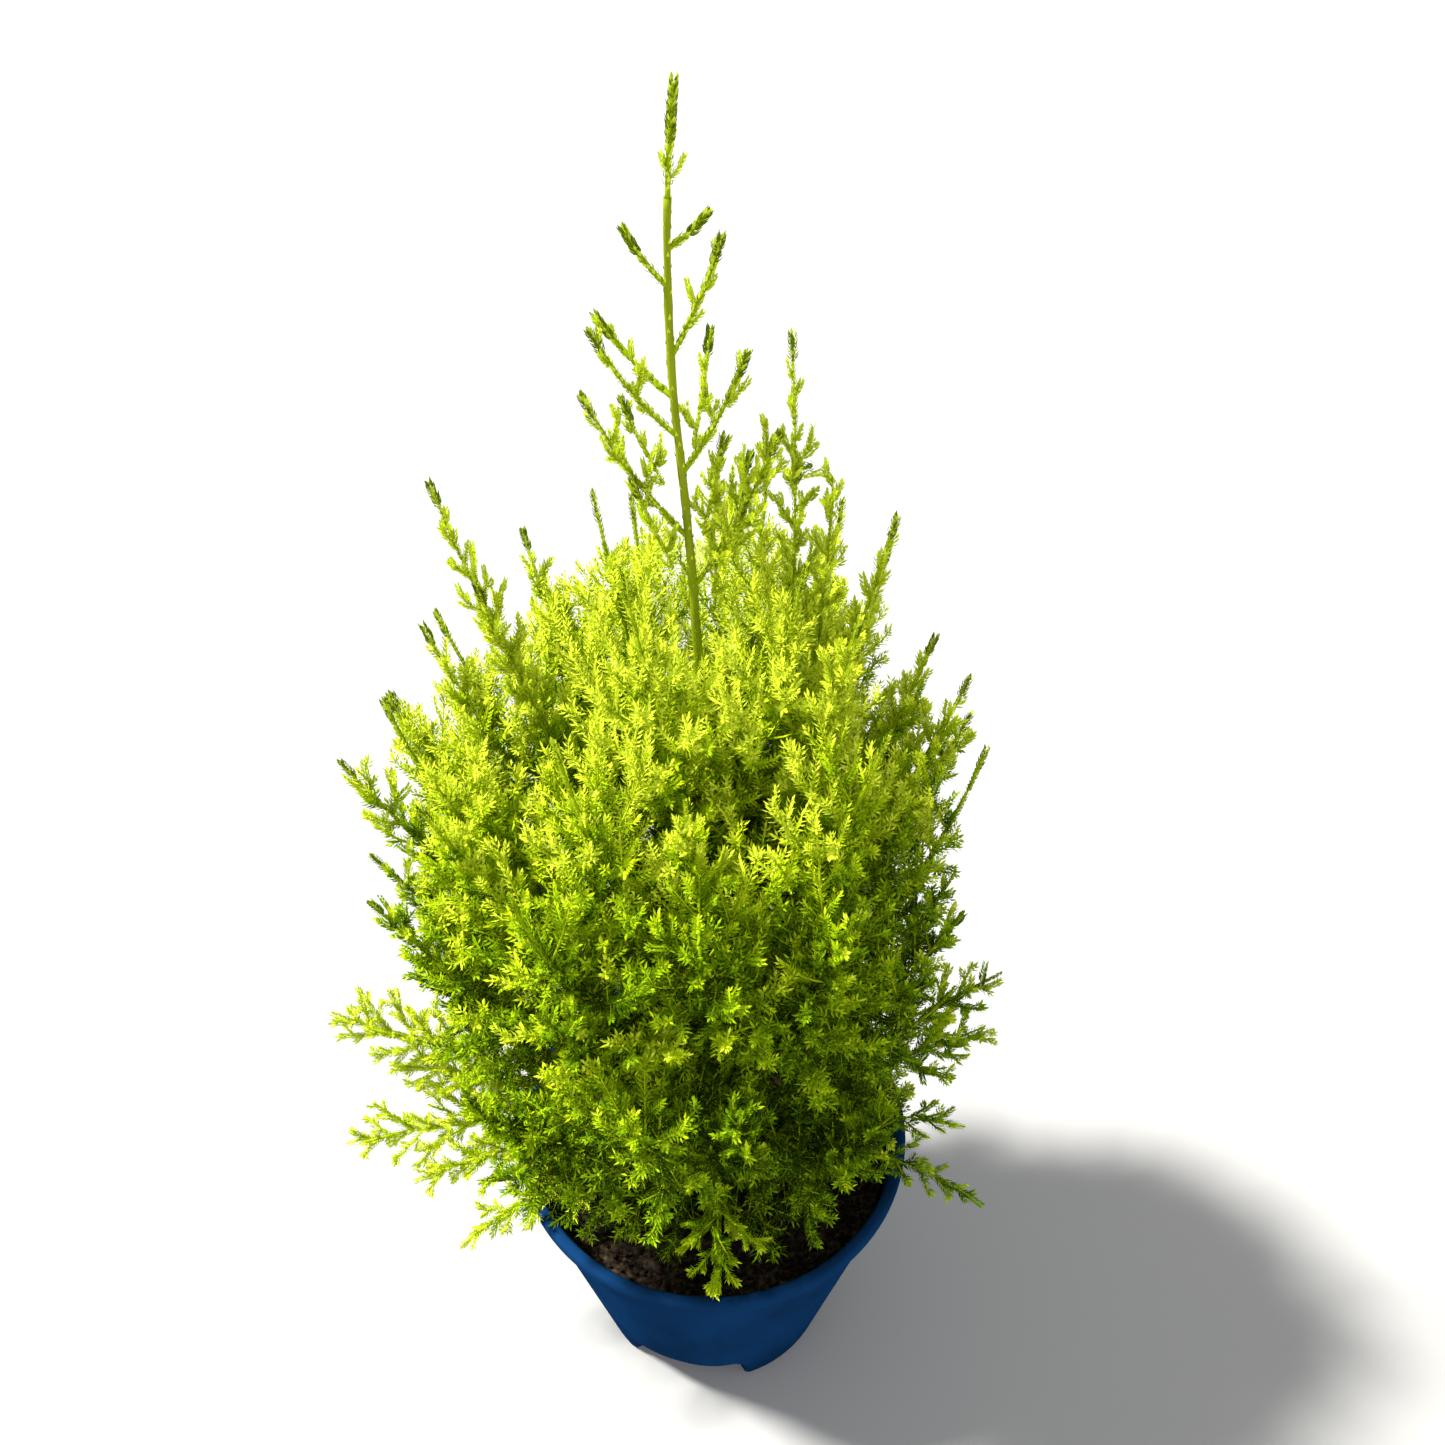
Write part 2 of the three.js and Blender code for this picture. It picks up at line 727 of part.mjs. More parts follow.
// The soil, clear inside the pot, with an uneven top that is level round the trunk.
function soilSolid() {
  const gap = clearance + soil.gap;
  const shelfTop = pot.recessHeight + pot.shelf;
  const foot = pot.footRadius - pot.recessDepth - pot.wall - gap;
  const reach = (z) => wallRadius(z) - pot.wall - gap;
  const edge = soil.top - 3;
  const outline = [
    [0, pot.floor + clearance],
    [foot, pot.floor + clearance],
    [foot, pot.shelfFoot + clearance],
    [reach(shelfTop), shelfTop + clearance],
    [reach(edge), edge],
  ];
  for (const share of [0.8, 0.6, 0.4, 0.16, 0]) outline.push([share * reach(soil.top), soil.top]);
  const profile = outline.map(([r, z]) => new THREE.Vector2(r, z));
  const geometry = new THREE.LatheGeometry(profile, soil.sides).rotateX(Math.PI / 2);
  const position = geometry.getAttribute("position");
  for (let i = 0; i < position.count; i++) {
    const [x, y, z] = [position.getX(i), position.getY(i), position.getZ(i)];
    if (z < soil.top - 0.5 || Math.hypot(x, y) < soil.levelShare * reach(soil.top)) continue;
    const bump = Math.sin(0.21 * x + 1.3) * Math.cos(0.17 * y) + 0.6 * Math.sin(0.33 * (x - y));
    position.setZ(i, z + soil.unevenness * bump);
  }
  return solidOf(geometry);
}

// Materials
const potPlastic = new THREE.MeshStandardMaterial({ color: 0x164a86, roughness: 0.42, metalness: 0 });
const darkSoil = new THREE.MeshStandardMaterial({ color: 0x2a2019, roughness: 0.95, metalness: 0 });
const bark = new THREE.MeshStandardMaterial({ color: 0x7d8a2a, roughness: 0.8, metalness: 0 });
const deepGreen = new THREE.MeshStandardMaterial({ color: 0x6f9a12, roughness: 0.6, metalness: 0 });
const limeGreen = new THREE.MeshStandardMaterial({ color: 0xa9cf1c, roughness: 0.6, metalness: 0 });

// The object
const tree = new THREE.Group();
tree.name = "potted_cypress";

const potBody = potSolid();
const soilBody = soilSolid();
const trunkBody = trunkSolid(0);
const grownTrunk = trunkSolid(clearance + 0.03);
place("pot", potBody);
place("soil", soilBody);
place("trunk", trunkBody);
tree.add(meshOf("pot", potBody, potPlastic));
tree.add(meshOf("soil", soilBody, darkSoil));
tree.add(meshOf("trunk", trunkBody, bark));

for (const plume of plumes.filter((each) => each.hasBough)) {
  const solid = boughSolid(plume, grownTrunk);
  place(plume.name + "_bough", solid);
  tree.add(meshOf(plume.name.replace(/_spray|_plume/, "") + "_bough", solid, bark));
}
for (const plume of plumes) {
  plume.pieces = [stemSolid(plume), tipShoot(plume)];
  for (const piece of plume.pieces) place(plume, piece);
}
const random = seeded(seed + 1);
for (const plume of plumes) {
  plume.pieces.push(...sideShoots(plume, random));
  const solid = plumeSolid(plume, grownTrunk);
  const isUpper = plume.curve.getPointAt(1).z > 300;
  tree.add(meshOf(plume.name, solid, isUpper ? limeGreen : deepGreen));
}

export default tree;
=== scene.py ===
"""A small lemon cypress in a blue nursery pot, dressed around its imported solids.

The plant is grown by the rule of the part's source, carried on to finer twigs and to needles. Plant
sizes are in millimetres until a mesh is made, and a made mesh is in metres, in the frame's axes.
"""

import logging
import math
from dataclasses import dataclass, field, replace
from enum import Enum
from typing import Callable, Iterator, Optional, Sequence

import bmesh
import bpy
import numpy as np
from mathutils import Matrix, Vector, noise


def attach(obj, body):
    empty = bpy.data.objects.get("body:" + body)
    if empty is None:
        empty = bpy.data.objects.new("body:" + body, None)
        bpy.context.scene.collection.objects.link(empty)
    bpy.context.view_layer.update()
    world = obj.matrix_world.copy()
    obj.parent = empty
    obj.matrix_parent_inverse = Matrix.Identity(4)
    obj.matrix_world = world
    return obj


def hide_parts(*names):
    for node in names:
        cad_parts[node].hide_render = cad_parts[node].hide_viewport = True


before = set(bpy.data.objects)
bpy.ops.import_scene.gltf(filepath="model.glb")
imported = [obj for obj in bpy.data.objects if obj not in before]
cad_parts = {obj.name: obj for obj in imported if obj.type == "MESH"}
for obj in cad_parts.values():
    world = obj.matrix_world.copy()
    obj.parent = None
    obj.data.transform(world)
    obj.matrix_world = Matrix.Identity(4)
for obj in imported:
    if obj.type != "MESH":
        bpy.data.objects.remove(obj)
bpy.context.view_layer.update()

log = logging.getLogger("cypress")
Array = np.ndarray
Colour = tuple[float, float, float]
MM = 0.001
UP = np.array([0.0, 0.0, 1.0])
TINY = 1e-12
SHORT = 1e-9
STEEP = 0.9
DOUBLES = 0.001
GOLDEN_ANGLE = math.pi * (3 - math.sqrt(5))
SEED = 20417
PIECE_TRIANGLES = 190_000


# Small helpers


def unit(vectors: Array) -> Array:
    """Vectors scaled to length one, along the last axis."""
    return vectors / np.maximum(np.linalg.norm(vectors, axis=-1, keepdims=True), TINY)


def heading(azimuth: float) -> Array:
    """The level direction of an azimuth in degrees."""
    return np.array([math.cos(math.radians(azimuth)), math.sin(math.radians(azimuth)), 0.0])


def aside(along: Array) -> Array:
    """For each direction, X where it is steep and up where it isn't."""
    return np.where(np.abs(along[:, 2:]) > STEEP, [[1.0, 0, 0]], [[0, 0, 1.0]])


def frame_of(along: Array) -> tuple[Array, Array]:
    """Two directions square to each direction and to each other."""
    across = unit(np.cross(along, aside(along)))
    return across, np.cross(along, across)


def around(turn: Array, across: Array, third: Array) -> Array:
    """Directions at angles round an axis, from two directions square to it."""
    return np.cos(turn)[:, None] * across + np.sin(turn)[:, None] * third


def mix(low: Array, high: Array, share: Array) -> Array:
    """Linear mix of two values or arrays."""
    return low + (high - low) * share


def near_one(by: float, chance: Array | float) -> Array | float:
    """A factor of about one that varies by a share, from a chance between 0 and 1."""
    return 1 - by / 2 + by * chance


def scaled(colour: Colour, by: float) -> Colour:
    """A colour made lighter or darker."""
    return tuple(by * channel for channel in colour)


def numbered(counts: Array) -> tuple[Array, Array]:
    """Repeats each item by its count.

    Args:
        counts: How often each item comes.

    Returns:
        The item's number for every repeat, and the repeat's place among those of its item.
    """
    item = np.repeat(np.arange(len(counts)), counts)
    return item, np.arange(len(item)) - np.repeat(np.cumsum(counts) - counts, counts)


def copies(faces: Sequence[tuple[int, int, int]], count: int, corners: int) -> Array:
    """The triangles of a number of equal shapes, from one shape's faces and its number of corners."""
    return ((np.arange(count) * corners)[:, None, None] + np.array(faces)[None]).reshape(-1, 3)


def linked(name: str, data: bpy.types.ID) -> bpy.types.Object:
    """A new object of a mesh, a lamp or a camera.

    Args:
        name: The object's name.
        data: The mesh, lamp or camera.

    Returns:
        The object, linked to the scene.
    """
    made = bpy.data.objects.new(name, data)
    bpy.context.scene.collection.objects.link(made)
    return made


def mesh_object(name: str, vertices: Array, triangles: Array) -> bpy.types.Object:
    """Makes one object from arrays of vertices, in millimetres, and triangles.

    Args:
        name: The object's name.
        vertices: Corner positions, one row each.
        triangles: Rows of three vertex numbers.

    Returns:
        The object, linked to the scene, with its mesh in metres.
    """
    mesh = bpy.data.meshes.new(name)
    mesh.vertices.add(len(vertices))
    mesh.vertices.foreach_set("co", (vertices * MM).astype(np.float32).ravel())
    mesh.loops.add(3 * len(triangles))
    mesh.loops.foreach_set("vertex_index", triangles.astype(np.int32).ravel())
    mesh.polygons.add(len(triangles))
    mesh.polygons.foreach_set("loop_start", np.arange(0, 3 * len(triangles), 3, dtype=np.int32))
    mesh.update(calc_edges=True)
    mesh.validate()
    return linked(name, mesh)


def bmesh_object(name: str, shape: bmesh.types.BMesh, closed: bool = True) -> bpy.types.Object:
    """Turns a bmesh, in millimetres, into a linked object in metres.

    Args:
        name: The object's name.
        shape: The bmesh, which is freed.
        closed: Whether it is a closed shell, which is turned outwards and shaded smooth.

    Returns:
        The new object.
    """
    if closed:
        bmesh.ops.recalc_face_normals(shape, faces=shape.faces)
    bmesh.ops.scale(shape, vec=(MM, MM, MM), verts=shape.verts)
    for face in shape.faces:
        face.smooth = closed
    mesh = bpy.data.meshes.new(name)
    shape.to_mesh(mesh)
    shape.free()
    return linked(name, mesh)


def spun(section: Sequence[tuple[float, float]], steps: int) -> bmesh.types.BMesh:
    """Spins a section once round Z.

    Args:
        section: The section as pairs of a radius and a height, from the axis back to the axis.
        steps: The steps of the full turn.

    Returns:
        The closed shape.
    """
    shape = bmesh.new()
    line = [shape.verts.new((radius, 0, height)) for radius, height in section]
    edges = [shape.edges.new(pair) for pair in zip(line, line[1:])]
    bmesh.ops.spin(
        shape, geom=line + edges, cent=(0, 0, 0), axis=(0, 0, 1), angle=2 * math.pi,
        steps=steps, use_merge=True, use_duplicate=False,
    )
    bmesh.ops.remove_doubles(shape, verts=shape.verts, dist=DOUBLES)
    return shape


def settle(piece: bpy.types.Object, slot: str, nodes: Sequence[str], finish: "Finish") -> None:
    """Puts a finished piece on the part: its body, the nodes it stands for and its material.

    Args:
        piece: The finished object.
        slot: The record's material slot; not used.
        nodes: The solids that the piece stands for.
        finish: The piece's finish.
    """
    piece.data.materials.append(finish.material())
    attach(piece, "root")
    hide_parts(*nodes)
    log.info("%s: %d triangles", piece.name, sum(len(p.vertices) - 2 for p in piece.data.polygons))


class SeededNumbers:
    """Numbers between 0 and 1 that are the same on every run, as in the part's source."""

    STEP = 0x6D2B79F5
    MASK = 0xFFFFFFFF

    def __init__(self, start: int) -> None:
        """Starts the row of numbers at a whole number."""
        self.state = start & self.MASK

    def draw(self) -> float:
        """The next number.

        Returns:
            A number from 0 up to 1.
        """
        self.state = (self.state + self.STEP) & self.MASK
        mixed = self.state
        mixed = ((mixed ^ (mixed >> 15)) * (mixed | 1)) & self.MASK
        mixed ^= (mixed + (((mixed ^ (mixed >> 7)) * (mixed | 61)) & self.MASK)) & self.MASK
        return ((mixed ^ (mixed >> 14)) & self.MASK) / (self.MASK + 1)


# Finishes


class Board:
    """The nodes of a material, and the patterns that its finish adds to them."""

    def __init__(self, name: str) -> None:
        """Makes a material of this name."""
        self.material = bpy.data.materials.new(name)
        self.material.use_nodes = True
        self.tree = self.material.node_tree
        self.shader = self.tree.nodes["Principled BSDF"]

    def node(self, kind: str, **values: object) -> bpy.types.Node:
        """A new node.

        Args:
            kind: The kind of node.
            values: What its sockets are set to.

        Returns:
            The node.
        """
        made = self.tree.nodes.new(f"ShaderNode{kind}")
        for socket, value in values.items():
            made.inputs[socket].default_value = value
        return made

    def link(self, source: bpy.types.NodeSocket, node: bpy.types.Node, socket: str) -> None:
        """Joins a value to a node's socket."""
        self.tree.links.new(source, node.inputs[socket])

    def place(self) -> bpy.types.NodeSocket:
        """The Object coordinates."""
        return self.node("TexCoord").outputs["Object"]

    def noise(self, scale: float, detail: float, stretch: tuple = (1, 1, 1)) -> bpy.types.NodeSocket:
        """A noise pattern on Object coordinates.

        Args:
            scale: The noise's scale.
            detail: Its octaves.
            stretch: The scale along each axis.

        Returns:
            The noise's value.
        """
        mapping = self.node("Mapping", Scale=stretch)
        texture = self.node("TexNoise", Scale=scale, Detail=detail)
        self.link(self.place(), mapping, "Vector")
        self.link(mapping.outputs["Vector"], texture, "Vector")
        return texture.outputs["Fac"]

    def ramp(self, source: bpy.types.NodeSocket, *stops: tuple[float, Colour]) -> bpy.types.NodeSocket:
        """A colour ramp from a value.

        Args:
            source: The value that drives the ramp.
            stops: Pairs of a position and a colour.

        Returns:
            The ramp's colour.
        """
        node = self.node("ValToRGB")
        elements = node.color_ramp.elements
        while len(elements) < len(stops):
            elements.new(0.5)
        for element, (position, colour) in zip(elements, stops):
            element.position = position
            element.color = (*colour, 1)
        self.link(source, node, "Fac")
        return node.outputs["Color"]

    def range(self, source: bpy.types.NodeSocket, **ends: float) -> bpy.types.NodeSocket:
        """A value laid from one range to another.

        Args:
            source: The value.
            ends: The ends of the ranges.

        Returns:
            The new value.
        """
        node = self.node("MapRange", **ends)
        self.link(source, node, "Value")
        return node.outputs["Result"]

    def bump(self, height: bpy.types.NodeSocket, distance: float) -> None:
        """Raises the surface by a height pattern, distance metres high."""
        node = self.node("Bump", Distance=distance, Strength=1.0)
        self.link(height, node, "Height")
        self.link(node.outputs["Normal"], self.shader, "Normal")


@dataclass(frozen=True)
class Finish:
    """A material with a plain colour and gloss. Its kinds add their own pattern."""

    name: str
    colour: Colour
    roughness: float
    specular: float

    def material(self) -> bpy.types.Material:
        """The finish's material, made once.

        Returns:
            The Blender material of this name.
        """
        found = bpy.data.materials.get(self.name)
        if found:
            return found
        board = Board(self.name)
        board.shader.inputs["Base Color"].default_value = (*self.colour, 1)
        board.shader.inputs["Roughness"].default_value = self.roughness
        board.shader.inputs["Specular IOR Level"].default_value = self.specular
        self.dress(board)
        return board.material

    def dress(self, board: Board) -> None:
        """Adds the finish's pattern. A plain finish has none."""


@dataclass(frozen=True)
class MouldedPlastic(Finish):
    """Blue blow-moulded plastic: satin, a little uneven, with faint grime."""

    dark: Colour = (0.004, 0.023, 0.072)
    cloud_scale: float = 28.0
    cloud_ends: tuple[float, float] = (0.36, 0.64)
    glossier: float = 0.08
    duller: float = 0.1
    grain_scale: float = 900.0
    grain_height: float = 0.00012

    def dress(self, board: Board) -> None:
        """Varies the blue and its gloss over a few centimetres and adds a fine moulded grain.

        Args:
            board: The material's nodes.
        """
        cloud = board.noise(self.cloud_scale, 4.0, (1, 1, 0.5))
        blue = board.ramp(cloud, *zip(self.cloud_ends, (self.dark, self.colour)))
        ends = {"To Min": self.roughness - self.glossier, "To Max": self.roughness + self.duller}
        board.link(blue, board.shader, "Base Color")
        board.link(board.range(cloud, **ends), board.shader, "Roughness")
        board.bump(board.noise(self.grain_scale, 2.0), self.grain_height)


@dataclass(frozen=True)
class Peat(Finish):
    """Moist peat: nearly black, with lighter fibres."""

    light: Colour = (0.04, 0.029, 0.018)
    fibre_gain: float = 2.2
    crumb_scale: float = 420.0
    crumb_height: float = 0.0015

    def dress(self, board: Board) -> None:
        """Speckles the soil and gives it a crumbly bump.

        Args:
            board: The material's nodes.
        """
        crumb = board.noise(self.crumb_scale, 6.0)
        fibre = scaled(self.light, self.fibre_gain)
        speckle = board.ramp(crumb, (0.42, self.colour), (0.58, self.light), (0.72, fibre))
        board.link(speckle, board.shader, "Base Color")
        board.bump(crumb, self.crumb_height)


@dataclass(frozen=True)
class Bark(Finish):
    """Bark that is brown and fissured below and turns to smooth lime-green up the leader."""

    brown: Colour = (0.13, 0.075, 0.035)
    green_from: float = 0.2
    green_to: float = 0.4
    fissure_scale: float = 500.0
    fissure_stretch: float = 0.16
    fissure_height: float = 0.0003

    def dress(self, board: Board) -> None:
        """Mixes brown fissures with the green of young wood by height.

        Args:
            board: The material's nodes.
        """
        fissure = board.noise(self.fissure_scale, 5.0, (1, 1, self.fissure_stretch))
        old = board.ramp(fissure, (0.35, scaled(self.brown, 0.45)), (0.65, scaled(self.brown, 1.5)))
        young = board.ramp(fissure, (0.3, self.colour), (0.7, scaled(self.colour, 1.35)))
        parts = board.node("SeparateXYZ")
        board.link(board.place(), parts, "Vector")
        ends = {"From Min": self.green_from, "From Max": self.green_to}
        blend = board.node("Mix")
        blend.data_type = "RGBA"
        sockets = {socket.identifier: socket for socket in (*blend.inputs, *blend.outputs)}
        board.tree.links.new(board.range(parts.outputs["Z"], **ends), sockets["Factor_Float"])
        board.tree.links.new(old, sockets["A_Color"])
        board.tree.links.new(young, sockets["B_Color"])
        board.link(sockets["Result_Color"], board.shader, "Base Color")
        board.bump(fissure, self.fissure_height)


class Tint(Enum):
    """The greens of the needles: the dark tufts, then lit and shaded copies of one green, from the shaded
    inside to the sunny tips, as painted light and shade that also holds the paler colour of young growth.
    """

    TUFT = Finish("needles_olive", (0.13, 0.21, 0.005), 0.6, 0.04)
    SHADE = Finish("needles_shade", (0.035, 0.075, 0.001), 0.7, 0.03)
    DEEP = Finish("needles_deep", (0.085, 0.17, 0.001), 0.7, 0.03)
    MID = Finish("needles_mid", (0.18, 0.315, 0.002), 0.7, 0.04)
    FRESH = Finish("needles_fresh", (0.32, 0.475, 0.003), 0.7, 0.05)
    LIME = Finish("needles_lime", (0.47, 0.6, 0.006), 0.7, 0.06)
    BRIGHT = Finish("needles_bright", (0.63, 0.73, 0.035), 0.7, 0.08)


PLASTIC = MouldedPlastic("pot_plastic", (0.005, 0.035, 0.115), 0.45, 0.0)
PEAT = Peat("peat", (0.011, 0.008, 0.006), 0.95, 0.02)
BARK = Bark("tree_bark", (0.22, 0.275, 0.01), 0.75, 0.0)
STEM_BARK = Finish("green_stems", (0.3, 0.42, 0.006), 0.7, 0.0)
TWIG_BARK = Finish("green_twigs", (0.46, 0.58, 0.01), 0.7, 0.0)


# Curves and the rule of growth


class Path:
    """A curve as a fine row of points, read by the share of its length."""

    NEAR = 0.004

    def __init__(self, points: Array) -> None:
        """Keeps the points and measures the way along them.

        Args:
            points: The curve's points, one row each.
        """
        self.points = points
        steps = np.linalg.norm(np.diff(points, axis=0), axis=1)
        self.way = np.concatenate([[0.0], np.cumsum(steps)])
        self.length = float(self.way[-1])

    def at(self, share: Array) -> Array:
        """Points at shares of the length."""
        way = np.clip(np.asarray(share, float), 0, 1) * self.length
        return np.stack([np.interp(way, self.way, self.points[:, k]) for k in range(3)], axis=-1)

    def tangent(self, share: Array) -> Array:
        """Directions of the curve at shares of the length."""
        share = np.asarray(share, float)
        return unit(self.at(np.minimum(share + self.NEAR, 1)) - self.at(np.maximum(share - self.NEAR, 0)))


def bent_curve(start: Array, bend: Array, end: Array, share: Array) -> Array:
    """Points of quadratic curves, where the shapes of the inputs go together."""
    return (1 - share) ** 2 * start + 2 * (1 - share) * share * bend + share**2 * end


def smooth_row(knots: Array, steps: int = 60) -> Array:
    """A smooth curve through knots, without loops where they lie close together.

    Args:
        knots: The points that the curve goes through.
        steps: Points for each stretch between two knots.

    Returns:
        The curve's points.
    """
    ends = [2 * knots[0] - knots[1], *knots, 2 * knots[-1] - knots[-2]]
    row = []
    for i in range(1, len(ends) - 2):
        before, low, high, after = ends[i - 1 : i + 3]
        gaps = [np.linalg.norm(b - a) ** 0.5 for a, b in ((before, low), (low, high), (high, after))]
        leave = (low - before) / gaps[0] - (high - before) / (gaps[0] + gaps[1]) + (high - low) / gaps[1]
        reach = (high - low) / gaps[1] - (after - low) / (gaps[1] + gaps[2]) + (after - high) / gaps[2]
        leave, reach = leave * gaps[1], reach * gaps[1]
        t = np.linspace(0, 1, steps, endpoint=False)[:, None]
        cubic = (2 * low - 2 * high + leave + reach) * t**3
        square = (3 * high - 3 * low - 2 * leave - reach) * t**2
        row.append(low + leave * t + square + cubic)
    row.append(knots[-1][None])
    return np.concatenate(row)


@dataclass
class Trunk:
    """The trunk: its axis from the foot to the leader's tip, and its taper."""

    foot: float = 110.3
    root_radius: float = 4.4
    flare: float = 2.6
    flare_height: float = 9
    end_radius: float = 1.0
    end_height: float = 537
    tip_height: float = 565
    taper: float = 1.7
    path: Path = field(init=False)

    def __post_init__(self) -> None:
        """Lays the axis through the trunk's leaning places."""
        knots = [(2, 1, self.foot), (1, 0, 220), (-1, 0, 330), (-5, 0, 430)]
        knots += [(-9.5, 0, 495), (-9, 0, 540), (-7, 0, self.tip_height)]
        self.path = Path(smooth_row(np.array(knots, float)))

    def share(self, height: float) -> float:
        """The share of the axis's length at a height."""
        return float(np.interp(height, self.path.points[:, 2], self.path.way) / self.path.length)

    def point(self, height: float) -> Array:
        """The axis's point at a height."""
        return self.path.at(self.share(height))

    def radius(self, height: Array) -> Array:
        """The trunk's radius at heights: its taper, and the flare over its roots.

        Args:
            height: Heights over the pot's underside.

        Returns:
            The radii.
        """
        share = np.clip((height - self.foot) / (self.end_height - self.foot), 0, 1)
        body = (self.root_radius - self.end_radius) * (1 - share) ** self.taper
        flare = self.flare * np.maximum(0, 1 - (height - self.foot) / self.flare_height) ** 2
        return self.end_radius + body + flare


@dataclass
class Envelope:
    """The dense crown's outline, and what stays free of needles: pot, soil and the air outside."""

    reach: float = 103
    middle: float = 238
    half_height: float = 209
    roundness: float = 3.9
    shift_by: float = -13
    shift_top: float = 450
    shift_fade: float = 100
    left_fall: float = 0.3
    left_fall_from: float = 370
    left_fall_fade: float = 50
    rim: float = 85
    lip: float = 9
    rim_height: float = 131
    soil_height: float = 110
    clearance: float = 2

    def shift(self, height: Array) -> Array:
        """How far the crown's middle lies along X at heights."""
        return self.shift_by * np.clip((self.shift_top - height) / self.shift_fade, 0, 1)

    def radius(self, height: Array) -> Array:
        """How far the dense crown reaches from its middle at heights."""
        share = np.abs(height - self.middle) / self.half_height
        return self.reach * np.maximum(0, 1 - share**self.roundness)

    def outside(self, points: Array) -> Array:
        """Each point's distance from the crown's middle as a share of the crown's reach there.

        The crown's top falls away to the left.

        Args:
            points: Points along the last axis.

        Returns:
            The shares, 1 at the crown's outline.
        """
        height = points[..., 2]
        across = np.hypot(points[..., 0] - self.shift(height), points[..., 1])
        fall = self.left_fall * np.clip((height - self.left_fall_from) / self.left_fall_fade, 0, 1)
        return across / np.maximum(self.radius(height + fall * np.maximum(0, -points[..., 0])), 1)

    def clear_of_pot(self, points: Array, margin: float) -> Array:
        """Whether points are a margin clear of the pot, the soil and the ground.

        Args:
            points: Points along the last axis.
            margin: The least distance.

        Returns:
            True for each point that is clear.
        """
        radius = np.hypot(points[..., 0], points[..., 1])
        outer = self.rim + margin + self.clearance
        over_rim = (radius > self.rim - self.lip - margin) & (radius < outer)
        floor = np.where(radius < outer, self.soil_height + self.clearance, 0.0)
        floor = np.where(over_rim, self.rim_height, floor)
        return points[..., 2] > floor + margin


@dataclass(frozen=True)
class NeedleStyle:
    """How needles stand on a twig: their size, their angle in degrees, the way from one pair to the next.

    The first pair stands at the share called first. On young wood needles are smaller and closer, by up to
    the share called young. Shoots longer than least_shoot bear finer twigs of the style, one for each
    twig_way of their length.
    """

    length: float
    opening: float
    pitch: float
    width: float
    first: float = 0.0
    young: float = 0.0
    least_shoot: float = 0.0
    twig_way: float = 2.7


STAR = NeedleStyle(3.2, 70, 1.08, 0.9, first=0.05, young=1.0, twig_way=2.95)
SHOOT = replace(STAR, first=0.3)
INNER = NeedleStyle(4.4, 60, 1.6, 1.2, first=0.05, young=1.0)
TASSEL = NeedleStyle(2.8, 34, 0.7, 0.9, first=0.05, young=0.5)
CLUB = NeedleStyle(2.1, 33, 0.55, 1.0, least_shoot=8.0)
PLUMP = NeedleStyle(2.9, 44, 0.66, 1.05, least_shoot=9.0, twig_way=4.2)
EDGE = NeedleStyle(2.8, 54, 0.8, 0.9, young=0.6)
HUGGING = NeedleStyle(2.1, 19, 0.9, 1.0)
TIP = NeedleStyle(2.8, 32, 0.5, 1.1)
SCALE = NeedleStyle(2.4, 13, 4.2, 0.9)
NEEDLE_SEAT = 0.3
TUFT_TONE = -4.0
TUFT_LIGHT = -1.0
COAT_TONE = -0.1


@dataclass
class Plume:
    """One plume or long shoot: its axis and how it branches."""

    name: str
    azimuth: float
    spread: float
    axis: Path
    bare: float = 0.22
    in_crown: bool = False
    slim: bool = False
    turn: float = GOLDEN_ANGLE
    bough_end: float = 0.0
    droops: bool = False
    last: float = 0.95
    spacing: float = 3.0
    # Painted sun: how much lighter the plume's needle tints are, for the sunlight on it.
    sun: float = 0.0
    style: NeedleStyle = SHOOT
    stem_end: float = 0.4
    tuft: Optional[float] = None


@dataclass(frozen=True)
class Tier:
    """A ring of plumes round the trunk."""

    name: str
    count: int
    first: float
    root: float
    root_step: float
    reach: float
    rise: float
    top: float
    spread: float
    out: float = 0.6
    bough: float = 0.24
    bare: float = 0.22


@dataclass(frozen=True)
class LongShoot:
    """A single spray or shoot that is placed by itself."""

    name: str
    azimuth: float
    root: float
    reach: float
    bend: float
    top: float
    spread: float
    out: float = 0.6
    bare: float = 0.22
    curl: float = 0.0
    # Painted sun: how much lighter the shoot's needle tints are, for the sunlight on it.
    sun: float = 0.0


@dataclass(frozen=True)
class EdgeRing:
    """Plump shoots that stand out of the crown all round."""

    count: int = 24
    low: float = 228.0
    high: float = 436.0
    out: float = 4.0
    shoulder: float = 20.0
    spread_low: float = 19.0
    spread_high: float = 13.0
    first: float = 40.0
    root_below: tuple[float, float] = (155.0, 45.0)
    bend_below: tuple[float, float] = (96.0, 24.0)
    least_root: float = 118.0
    least_bend: float = 150.0


@dataclass(frozen=True)
class LeaderShoot:
    """A side shoot of the bare leader."""

    height: float
    azimuth: float
    out: float
    up: float
    spread: float


TIERS = (
    Tier("base", 4, 47, 124, 6, 103, 26, 214, 54),
    Tier("lower", 5, 188, 152, 6, 105, 34, 286, 60, out=0.75),
    Tier("middle", 6, 0, 184, 6, 100, 60, 366, 60, out=0.76),
    Tier("shoulder", 5, 30, 221, 5, 79, 76, 408, 52, out=0.7, bough=0.0, bare=0.3),
    Tier("upper", 4, 52, 252, 7, 40, 84, 440, 46, bough=0.0, bare=0.34),
)
